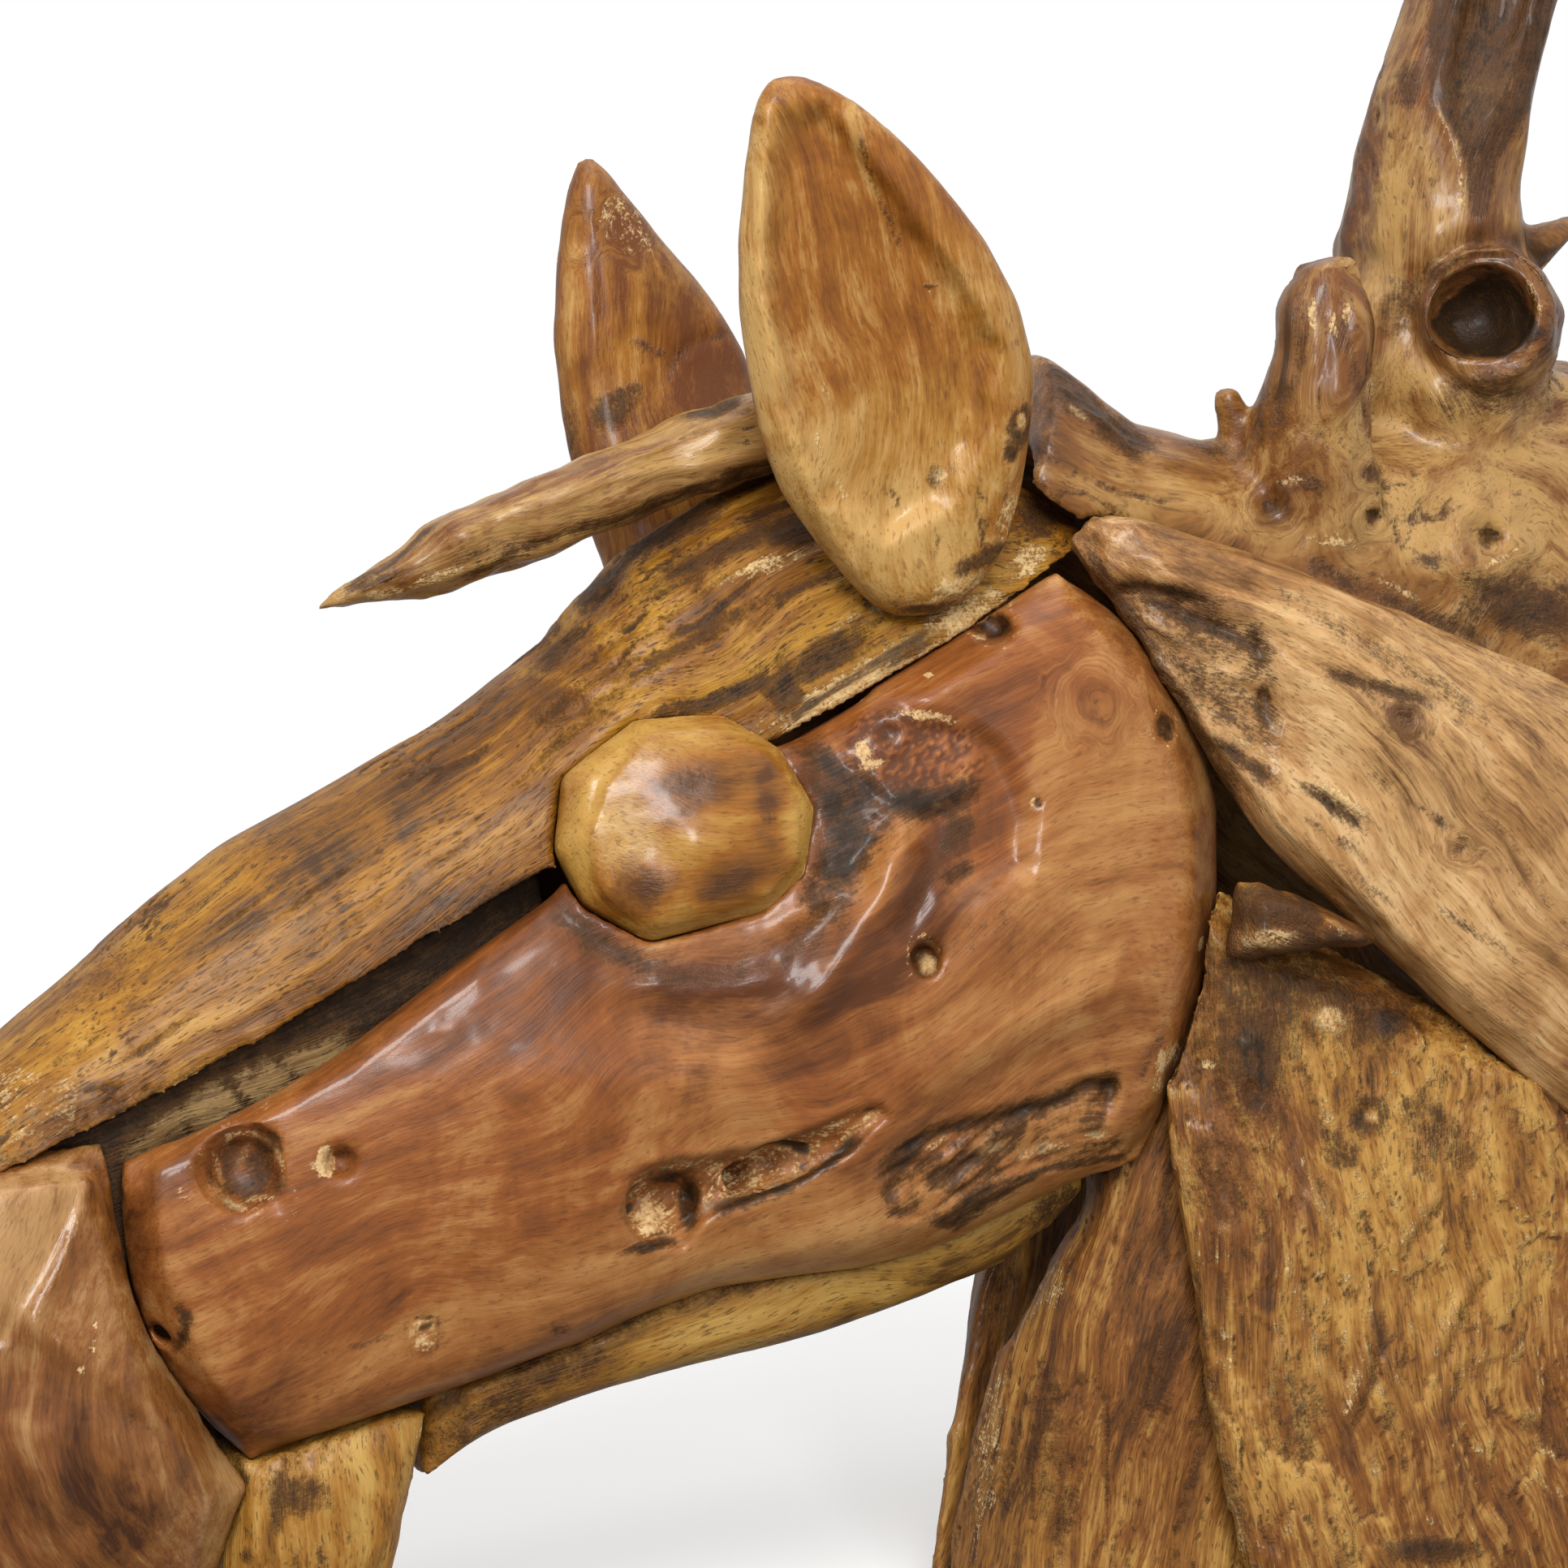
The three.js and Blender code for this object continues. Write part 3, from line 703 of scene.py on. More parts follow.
    def done(self, wood, slot):
        """Writes the relief and the marks into the mesh, and hands the piece over."""
        mesh = self.piece.data
        moved = self.points + self.normals * self.height[:, None] + self.outward * self.press[:, None]
        moved *= MM
        moved[:, 2] = np.maximum(moved[:, 2], 0.0)
        mesh.vertices.foreach_set("co", moved.astype(np.float32).ravel())
        grain = np.stack((self.along, self.across, self.deep), axis=1) * MM
        attribute = mesh.attributes.new("grain", "FLOAT_VECTOR", "POINT")
        attribute.data.foreach_set("vector", grain.astype(np.float32).ravel())
        for name in ("stain", "pale", "dull", "tone", "warm"):
            attribute = mesh.attributes.new(name, "FLOAT", "POINT")
            value = np.clip(getattr(self, name), -1.0, 1.0)
            attribute.data.foreach_set("value", value.astype(np.float32))
        mesh.shade_smooth()
        mesh.update()
        mesh.materials.clear()
        mesh.materials.append(wood)
        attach(self.piece, "root")
        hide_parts(self.node)


# Wood

class Nodes:
    """Short words for building a material's nodes."""

    def __init__(self, name):
        self.material = bpy.data.materials.new(name)
        self.material.use_nodes = True
        self.tree = self.material.node_tree
        self.tree.nodes.clear()

    def add(self, kind, **values):
        node = self.tree.nodes.new(kind)
        for name, value in values.items():
            setattr(node, name, value)
        return node

    def link(self, output, socket):
        self.tree.links.new(output, socket)

    def attribute(self, name):
        return self.add("ShaderNodeAttribute", attribute_name=name)

    def put(self, value, socket):
        if isinstance(value, bpy.types.NodeSocket):
            self.link(value, socket)
        else:
            socket.default_value = value

    def sum(self, operation, first, second, third=None):
        node = self.add("ShaderNodeMath", operation=operation)
        self.put(first, node.inputs[0])
        self.put(second, node.inputs[1])
        if third is not None:
            self.put(third, node.inputs[2])
        return node.outputs[0]

    def noise(self, vector, scale, detail, rough, warp):
        mapping = self.add("ShaderNodeMapping")
        mapping.inputs["Scale"].default_value = scale
        self.link(vector, mapping.inputs["Vector"])
        node = self.add("ShaderNodeTexNoise")
        node.inputs["Scale"].default_value = 1.0
        node.inputs["Detail"].default_value = detail
        node.inputs["Roughness"].default_value = rough
        node.inputs["Distortion"].default_value = warp
        self.link(mapping.outputs["Vector"], node.inputs["Vector"])
        return node.outputs["Fac"]

    def swing(self, noise, amount, level):
        """Adds a noise, which wavers about a half, to a level."""
        offset = self.sum("MULTIPLY_ADD", noise, amount, -0.5 * amount)
        return self.sum("ADD", offset, level)

    def between(self, value, low, high):
        node = self.add("ShaderNodeMapRange", interpolation_type="SMOOTHSTEP")
        self.link(value, node.inputs["Value"])
        node.inputs["From Min"].default_value = low
        node.inputs["From Max"].default_value = high
        return node.outputs["Result"]

    def mix(self, factor, first, second):
        node = self.add("ShaderNodeMix", data_type="RGBA")
        self.put(factor, node.inputs["Factor"])
        self.put(first, node.inputs[6])
        self.put(second, node.inputs[7])
        return node.outputs[2]

    def ramp(self, value, stops):
        stops = list(stops)
        node = self.add("ShaderNodeValToRGB")
        points = node.color_ramp.elements
        while len(points) < len(stops):
            points.new(0.5)
        for point, (place, colour) in zip(points, stops):
            point.position = place
            point.color = colour
        self.link(value, node.inputs["Fac"])
        return node.outputs["Color"]


def opaque(colour):
    """A colour property as four numbers."""
    return (*colour, 1.0)


def lacquered_wood(name, tones, bands, streaks, fibre, dash, rough, bump):
    """Oiled and lacquered root wood, with grain that follows the piece's own attribute."""
    carving = bpy.context.scene.horse_head.carving
    nodes = Nodes(name)
    grain = nodes.attribute("grain").outputs["Vector"]
    place = nodes.add("ShaderNodeTexCoord").outputs["Object"]
    tone = nodes.attribute("tone").outputs["Fac"]
    stain = nodes.attribute("stain").outputs["Fac"]
    pale = nodes.attribute("pale").outputs["Fac"]
    dull = nodes.attribute("dull").outputs["Fac"]
    band = nodes.noise(grain, *BANDS)
    streak = nodes.noise(grain, *STREAKS)
    fine = nodes.noise(grain, *FINE_FIBRES)
    short = nodes.noise(grain, *SHORT_FIBRES)
    mottle = nodes.noise(place, *MOTTLES)
    patch = nodes.noise(place, *PATCHES)
    grime = nodes.noise(place, *GRIME)
    grit = nodes.noise(place, *GRIT)

    level = nodes.swing(band, BAND_SWING * bands, tone)
    level = nodes.swing(mottle, MOTTLE_SWING, level)
    level = nodes.swing(streak, STREAK_SWING * streaks, level)
    level = nodes.swing(fine, fibre, level)
    level = nodes.sum("ADD", level, 0.5)
    deep = opaque(tones.deep)
    mid = opaque(tones.mid)
    light = opaque(tones.light)
    plain = nodes.ramp(level, zip(PLAIN_STOPS, (deep, mid, light)))
    warmer = nodes.ramp(level, zip(WARM_STOPS, (deep, opaque(tones.warm), light)))
    warmth = nodes.sum("ADD", patch, nodes.attribute("warm").outputs["Fac"])
    colour = nodes.mix(nodes.between(warmth, *WARM_EDGE), plain, warmer)
    pores = nodes.between(nodes.swing(grime, 0.3, short), *PORE_EDGE)
    colour = nodes.mix(nodes.sum("MULTIPLY", pores, dash), colour, deep)

    # The pale mark is torn, dry and bleached fibres, and in one place on the mane plank a painted
    # highlight.
    torn = nodes.swing(fine, 1.0, nodes.swing(grit, 0.8, nodes.swing(grime, 1.2, pale)))
    torn = nodes.sum("MULTIPLY", nodes.between(torn, *TORN_EDGE), nodes.between(pale, *PALE_EDGE))
    shade = nodes.ramp(nodes.swing(grit, 1.0, grime), zip(DRY_STOPS, (mid, opaque(carving.pale))))
    colour = nodes.mix(nodes.sum("MULTIPLY", torn, TORN_COVER), colour, shade)
    # The stain mark holds real stains and also painted shade; both come out in umber, and in char where the
    # mark is strong.
    soaked_and_shaded = nodes.swing(fine, 0.9, nodes.swing(grime, 1.1, stain))
    soaked_and_shaded = nodes.swing(streak, 0.9, nodes.swing(grit, 0.5, soaked_and_shaded))
    held = nodes.between(stain, *STAIN_AND_SHADE_EDGE)
    umber = nodes.sum("MULTIPLY", nodes.between(soaked_and_shaded, *UMBER_EDGE), held)
    colour = nodes.mix(nodes.sum("MULTIPLY", umber, UMBER_COVER), colour, opaque(carving.umber))
    char = nodes.sum("MULTIPLY", nodes.between(soaked_and_shaded, *CHAR_AND_SHADE_EDGE), held)
    colour = nodes.mix(nodes.sum("MULTIPLY", char, CHAR_AND_SHADE_COVER), colour, opaque(carving.char))

    sunk = nodes.sum("MAXIMUM", nodes.sum("MAXIMUM", umber, torn), dull)
    roughness = nodes.swing(grime, GRIME_ROUGHNESS, nodes.swing(fine, FIBRE_ROUGHNESS, rough))
    roughness = nodes.sum("MULTIPLY_ADD", sunk, SUNK_ROUGHNESS, roughness)
    relief = nodes.sum("MULTIPLY_ADD", fine, FIBRE_RELIEF, nodes.sum("MULTIPLY", streak, STREAK_RELIEF))
    relief = nodes.sum("MULTIPLY_ADD", pores, PORE_RELIEF * dash, relief)
    relief = nodes.sum("MULTIPLY_ADD", nodes.sum("MULTIPLY", sunk, grime), GRIME_RELIEF, relief)
    relief = nodes.sum("MULTIPLY_ADD", nodes.sum("MULTIPLY", sunk, grit), GRIT_RELIEF, relief)
    lumps = nodes.add("ShaderNodeBump")
    lumps.inputs["Strength"].default_value = bump
    lumps.inputs["Distance"].default_value = BUMP_DEPTH
    nodes.link(relief, lumps.inputs["Height"])

    shader = nodes.add("ShaderNodeBsdfPrincipled")
    nodes.link(colour, shader.inputs["Base Color"])
    nodes.link(roughness, shader.inputs["Roughness"])
    nodes.link(lumps.outputs["Normal"], shader.inputs["Normal"])
    shader.inputs["Specular IOR Level"].default_value = SPECULAR
    bare = nodes.sum("MAXIMUM", nodes.sum("MULTIPLY", umber, UMBER_BARE), torn)
    bare = nodes.sum("MAXIMUM", bare, dull)
    lacquer = nodes.sum("MULTIPLY_ADD", bare, -BARE_LOSS * tones.gloss, tones.gloss)
    nodes.link(lacquer, shader.inputs["Coat Weight"])
    shader.inputs["Coat Roughness"].default_value = COAT_ROUGHNESS
    output = nodes.add("ShaderNodeOutputMaterial")
    nodes.link(shader.outputs["BSDF"], output.inputs["Surface"])
    return nodes.material


def sides(name):
    """The near and the far node of a pair, each with its side and a seed for its grain."""
    return ((f"near_{name}", NEAR, 1), (f"far_{name}", FAR, 6))


def cell_for(side, fine=False):
    """The mesh spacing for a piece."""
    carving = bpy.context.scene.horse_head.carving
    if side == FAR:
        return carving.far_cell
    return carving.fine_cell if fine else carving.near_cell


# Pieces

class HORSE_OT_cheeks(bpy.types.Operator):
    """Carve the two broad, polished cheeks."""

    bl_idname = "horse_head.cheeks"
    bl_label = "Cheeks"

    def execute(self, context):
        tones = context.scene.horse_head.cheek
        wood = lacquered_wood("cheek_wood", tones, 0.62, 0.32, 0.35, 0.4, 0.38, 0.2)
        spine = [(-245, 150), (-100, 215), (20, 270), (150, 330)]
        for node, side, seed in sides("cheek"):
            skin = Skin(node, cell_for(side, True), side, [spine], seed)
            skin.swells(80.0, 1.6)
            skin.fibres(60.0, 7.0, 0.1)
            self.colour(skin)
            self.brow(skin)
            self.holes(skin)
            self.crevice(skin)
            self.bark(skin)
            skin.done(wood, "cheek_wood")
        return {"FINISHED"}

    def colour(self, skin):
        """Golden sapwood low down, a redder middle, and painted sheen in two broad paler patches."""
        skin.toned((-98, 162), (70, 16), 0.14, 15)
        skin.toned((-20, 174), (70, 12), 0.2, 10)
        skin.toned((55, 192), (50, 12), 0.24, 18)
        skin.toned((-170, 138), (60, 14), 0.1, 10)
        # Painted sheen: the broad paler patch low under the eye and the paler, less red one on the upper
        # right stand for the lacquer's highlights.
        skin.toned((-44, 240), (70, 20), 0.12, 12)
        skin.toned((109, 342), (34, 44), 0.16)
        skin.toned((85, 273), (44, 12), 0.2, 15)
        skin.toned((64, 249), (40, 10), 0.12, 24)
        skin.warmed((-146, 204), (100, 40), 0.25, 18)
        skin.warmed((82, 396), (40, 22), 0.25)
        skin.warmed((-20, 174), (120, 20), -0.25, 15)
        # Less red under the painted sheen on the upper right.
        skin.warmed((115, 327), (34, 44), -0.2)
        skin.toned((4, 249), (36, 9), -0.16, 30)
        skin.toned((-104, 258), (40, 10), -0.14, 25)
        skin.toned((127, 387), (12, 30), 0.2, 30)

    def brow(self, skin):
        """The sunk burl, the burnt wood, the folds beside the eye and painted shade under it."""
        basin = skin.within(
            [(6, 370), (25, 382), (46, 380), (68, 373), (80, 366), (86, 357),
             (91, 340), (90, 320), (76, 316), (63, 310), (55, 324), (43, 336),
             (28, 318), (10, 312)], 12.0)
        skin.press -= 7.0 * basin
        burl = skin.within(
            [(22, 364), (28, 378), (43, 379), (64, 376), (73, 363), (72, 350),
             (55, 342), (37, 346)], 6.0)
        skin.press += 2.4 * burl
        skin.ripples((39, 370), 2.8, 0.3, burl)
        skin.warm += 0.2 * burl
        skin.tone -= 0.12 * burl
        skin.warmed((80, 350), (10, 26), 0.5, -8)
        skin.toned((79, 350), (9, 24), -0.3, -8)
        skin.knot((38, 370), 6.0, 1.2, 0.3)
        skin.warmed((38, 370), (7, 7), 0.4)
        skin.paled((29, 364), (4, 5), 0.8)
        skin.paled((31, 359), (6, 2.5), 0.8, 10)
        skin.paled((56, 344), (2.5, 2), 0.9)
        skin.paled((54, 377), (14, 2.5), 0.6, -8)
        burn = skin.within(
            [(4, 364), (13, 367), (24, 358), (36, 352), (52, 352), (70, 353),
             (68, 344), (55, 340), (40, 340), (33, 328), (25, 316), (13, 309),
             (13, 339)], 12.0)
        skin.mark("stain", burn * (1.0 + 0.5 * clouds(skin.points / 8.0, 77, 2)))
        skin.fibres(9.0, 2.2, 0.5, 0.0, 29, burn)
        # Painted shade: a dark band laid along a groove under the eye's lower rim.
        skin.fold([(-83, 300), (-60, 285), (-32, 279), (-5, 286), (13, 300), (24, 315)], 7.0, 1.2, 0.3)
        skin.toned((-32, 280), (44, 8), -0.34)
        skin.toned((10, 297), (14, 12), -0.3, 40)
        skin.darkened((16, 310), (12, 14), 0.6, -40)
        skin.darkened((63, 333), (11, 7), 0.7, 35)
        skin.darkened((64, 319), (9, 5), 0.65, 20)
        ridge = [(44, 338), (42, 326), (37, 310), (26, 291), (13, 274), (1, 263)]
        skin.fold(ridge, 6.5, -6.0)
        skin.fold([(53, 335), (54, 320), (50, 307), (36, 292)], 5.0, 4.0, 0.25)
        skin.warmed((52, 318), (7, 20), 0.5, -12)
        skin.toned((52, 316), (8, 24), -0.45, -14)
        skin.warmed((34, 292), (10, 7), 0.4, 35)
        skin.toned((34, 294), (10, 6), -0.15, 35)
        skin.fold([(27, 314), (13, 300), (-2, 286)], 5.5, 3.5, 0.45)
        skin.fold([(-59, 282), (-26, 275), (6, 285)], 6.0, -3.0)
        skin.fold([(58, 289), (75, 298), (91, 310)], 6.0, 1.0, 0.3)
        lid = skin.within([(-88, 303), (-80, 307), (-62, 294), (-41, 286), (-50, 281), (-69, 287)], 11.0)
        skin.mark("stain", 0.7 * lid)
        skin.press -= 2.0 * lid
        skin.dent((85, 303), (26, 16), -3.0, 35)
        skin.fold([(37, 230), (70, 253), (109, 272), (145, 285)], 9.0, -3.0)
        skin.fold([(46, 222), (85, 245), (133, 263)], 8.0, 2.4)
        skin.fold([(-80, 272), (-41, 260), (13, 252)], 10.0, 2.4)
        skin.fold([(-116, 243), (-56, 242), (4, 238)], 16.0, -2.6)
        skin.knot((115, 383), 12.0, 0.25, 0.08, 0, 0.4)

    def holes(self, skin):
        """Plugged, pegged and worm-eaten holes."""
        skin.hole((78, 410), (8.5, 6.5), 6.0, 10, 0.25)
        skin.paled((73, 406), (3, 2), 0.6)
        skin.hole((141, 373), (4.0, 6.0), 5.0, 15, 0.4)
        skin.hole((94, 345), (2.6, 2.0), 2.0, 0, 0.4)
        skin.paled((92, 345), (2.2, 1.6), 1.0)
        skin.dent((52, 287), (13, 14), 1.6)
        skin.hole((52, 287), (6.5, 7.6), 6.5, 20, 0.4, 0.6)
        skin.dent((53, 286), (3.8, 4.4), -6.0)
        skin.paled((53, 286), (4.6, 5.2), 0.85)
        skin.paled((53, 392), (3.2, 1.6), 0.7)
        skin.paled((155, 293), (1.4, 4.0), 0.8, -15)
        skin.hole((-199, 209), (18.0, 18.5), 5.0, 0, 0.2, 0.62)
        skin.darkened((-192, 218), (8, 7), 0.9)
        skin.darkened((-205, 207), (6, 10), 0.7)
        skin.paled((-200, 214), (3, 9), 0.4, -25)
        skin.paled((-209, 210), (2, 9), 0.5, 15)
        skin.paled((-194, 199), (8, 2.4), 0.55, 10)
        skin.fold([(-209, 217), (-203, 223), (-191, 221), (-185, 210), (-186, 201)], 1.8, -1.6, 0.0, 0.5)
        skin.fold([(-209, 201), (-200, 194), (-191, 196)], 2.2, -1.4, 0.0, 0.5)
        skin.hole((-163, 212), (8.0, 7.0), 1.6, 0, 0.0, 0.35)
        skin.paled((-169, 212), (3.6, 6.0), 1.0, 0, 0.7)
        skin.dulled((-161, 212), (6, 6))
        skin.plug((-134, 148), 7.0, 0.45)
        skin.darkened((-133, 151), (3, 1.2), 0.6, 10)
        skin.darkened((-83, 150), (6, 4), 0.45)
        skin.darkened((-98, 165), (18, 2.0), 0.3, 25)
        skin.darkened((-161, 144), (26, 2.0), 0.3, 14)
        skin.darkened((-122, 180), (20, 1.6), 0.25, 22)

    def crevice(self, skin):
        """The long rotten crevice in the jaw, with a pit at its front end."""
        front = np.where(np.abs(skin.points[:, 1]) > 58.0, 1.0, 0.0)
        mouth = skin.within(
            [(-59, 192), (-56, 207), (-39, 213), (-11, 215), (13, 224), (35, 233),
             (39, 229), (25, 216), (0, 202), (-24, 195), (-31, 189), (-37, 180),
             (-50, 181)], 3.4, front)
        skin.press -= 4.5 * mouth
        skin.mark("pale", 0.36 * mouth)
        skin.mark("dull", mouth)
        skin.fibres(16.0, 3.0, 1.4, 0.85, 37, mouth)
        pit = skin.within(
            [(-58, 193), (-54, 205), (-39, 209), (-31, 202), (-33, 188), (-43, 182),
             (-54, 184)], 4.0, front)
        skin.press -= 4.5 * pit
        bar = skin.within([(-43, 209), (-18, 215), (-11, 203), (-37, 195)], 7.0, front)
        skin.press -= 5.0 * bar
        skin.darkened((-35, 196), (5, 13), 0.95)
        skin.darkened((-43, 206), (9, 3), 0.8, 10)
        skin.dent((-48, 193), (6.0, 8.0), -6.0)
        skin.paled((-49, 193), (7, 9), 0.8)
        skin.darkened((-48, 181), (12, 3), 0.8, 8)
        skin.fold([(-29, 193), (-9, 199), (12, 208), (31, 222)], 3.2, 1.6, 0.9)
        skin.fold([(-51, 210), (-29, 215), (-2, 220), (31, 234)], 3.0, -1.2)
        skin.fold([(-50, 225), (-50, 210)], 1.6, 0.6, 0.3)
        skin.fold([(39, 229), (28, 216), (4, 200), (-26, 188)], 4.0, -1.0)

    def bark(self, skin):
        """Bark grown into the hinge of the jaw."""
        rough = skin.within(
            [(36, 208), (49, 222), (70, 229), (97, 235), (112, 242), (124, 244),
             (124, 236), (120, 226), (128, 216), (100, 210), (76, 205), (52, 190),
             (40, 192)], 4.5)
        skin.press -= 2.4 * rough
        skin.mark("dull", 0.7 * rough)
        skin.fibres(14.0, 3.2, 2.2, 0.6, 43, rough)
        skin.warm -= 0.2 * rough
        blotch = smooth_step(-0.1, 0.5, clouds(skin.points / 9.0, 83))
        skin.mark("stain", (0.26 + 0.34 * blotch) * rough)
        skin.fold([(37, 210), (52, 221), (79, 228), (103, 235), (122, 243)], 3.6, 1.6, 0.8)
        skin.darkened((46, 212), (14, 6), 0.8, 40)
        skin.darkened((85, 229), (22, 4), 0.7, 14)
        skin.darkened((72, 214), (20, 4), 0.75, 20)
        skin.hole((121, 239), (4.5, 6.5), 4.5)
        skin.paled((78, 217), (8, 3), 0.6, 20)
        skin.paled((97, 216), (20, 4), 0.45, 14)
        skin.paled((114, 222), (9, 3), 0.5, 20)
        skin.paled((58, 218), (8, 3), 0.6, 30)
        smear = skin.within(
            [(55, 189), (70, 201), (89, 208), (97, 208), (82, 198), (64, 185)], 6.0)
        skin.mark("stain", 0.75 * smear)
        skin.fibres(26.0, 2.6, 0.5, 0.0, 51, smear)
        skin.fold([(78, 203), (100, 209), (128, 215)], 1.6, 1.0, 0.8)
        knot = skin.within([(136, 238), (138, 252), (145, 258), (149, 255), (145, 244), (140, 236)], 3.0)
        skin.press -= 1.2 * knot
        skin.mark("pale", 0.5 * knot)
        skin.mark("dull", knot)
        skin.darkened((142, 245), (2.5, 6), 0.4, -20)
        skin.fold([(131, 238), (134, 252), (144, 262)], 2.4, 0.8, 0.3)
        skin.fold([(-225, 162), (-219, 150), (-227, 141)], 2.5, 2.5, 0.7)


class HORSE_OT_forehead_log(bpy.types.Operator):
    """Carve the split log that runs from the poll to the nose."""

    bl_idname = "horse_head.forehead_log"
    bl_label = "Forehead Log"

    def execute(self, context):
        wood = lacquered_wood("log_wood", context.scene.horse_head.log, 0.5, 0.5, 0.8, 0.9, 0.42, 0.6)
        spine = [(-300, 235), (-180, 300), (-60, 380), (20, 430), (103, 445)]
        skin = Skin("forehead_log", cell_for(NEAR, True), ASTRIDE, [spine], 2)
        skin.swells(60.0, 0.8)
        upper = skin.within(
            [(-98, 402), (-74, 450), (22, 474), (100, 432), (52, 402), (-5, 369), (-62, 372)], 40.0)
        skin.fibres(70.0, 5.0, 0.4, 0.3)
        skin.fibres(60.0, 6.0, 1.5, 0.8, 25, upper)
        skin.checks(60.0, 5.0, 0.9, 0.0, 0.6)
        skin.warm += 0.16 * upper
        skin.tone += 0.17 * upper
        skin.toned((-170, 309), (90, 22), 0.08, 32)
        skin.warmed((-191, 288), (110, 20), -0.25, 32)
        skin.toned((-134, 354), (70, 8), -0.12, 34)
        skin.warmed((-164, 276), (120, 8), 0.4, 27)
        facet = skin.within([(-302, 252), (-260, 243), (-262, 226), (-272, 218), (-302, 201)], 3.0)
        skin.mark("pale", 0.3 * facet)
        skin.mark("dull", 0.6 * facet)
        skin.darkened((-53, 444), (34, 9), 0.95, 24)
        skin.darkened((-69, 428), (16, 10), 0.85, 45)
        skin.darkened((-83, 402), (18, 6), 0.6, 45)
        skin.darkened((-23, 438), (34, 6), 0.65, 26)
        skin.darkened((4, 447), (20, 8), 0.7, 20)
        skin.darkened((-29, 408), (34, 4), 0.6, 30)
        lip = [(-6, 370), (22, 386), (55, 405), (84, 419)]
        skin.fold(lip, 6.5, -1.8, 0.0, 0.95)
        skin.fold([(0, 375), (25, 391), (55, 409)], 2.0, 1.2, 0.75)
        skin.paled((-12, 432), (16, 4), 0.6, 32)
        skin.paled((1, 435), (12, 4), 0.5, 25)
        skin.paled((67, 417), (18, 5), 0.7, 25)
        skin.paled((91, 435), (12, 7), 0.6, 40)
        skin.paled((25, 411), (30, 4), 0.5, 32)
        skin.darkened((1, 388), (8, 12), 0.85, -15)
        skin.darkened((13, 402), (22, 4), 0.7, 32)
        skin.darkened((49, 402), (18, 3), 0.6, 30)
        skin.darkened((94, 450), (8, 10), 0.6, 40)
        skin.knot((-83, 380), (8, 4), 0.5, 0.5, 25)
        skin.darkened((-104, 310), (24, 4), 0.75, 32)
        skin.paled((-102, 309), (10, 2), 0.6, 32)
        skin.fold([(-285, 216), (-215, 243), (-149, 276), (-89, 315)], 5.0, 0.4, 0.3)
        skin.done(wood, "log_wood")
        return {"FINISHED"}


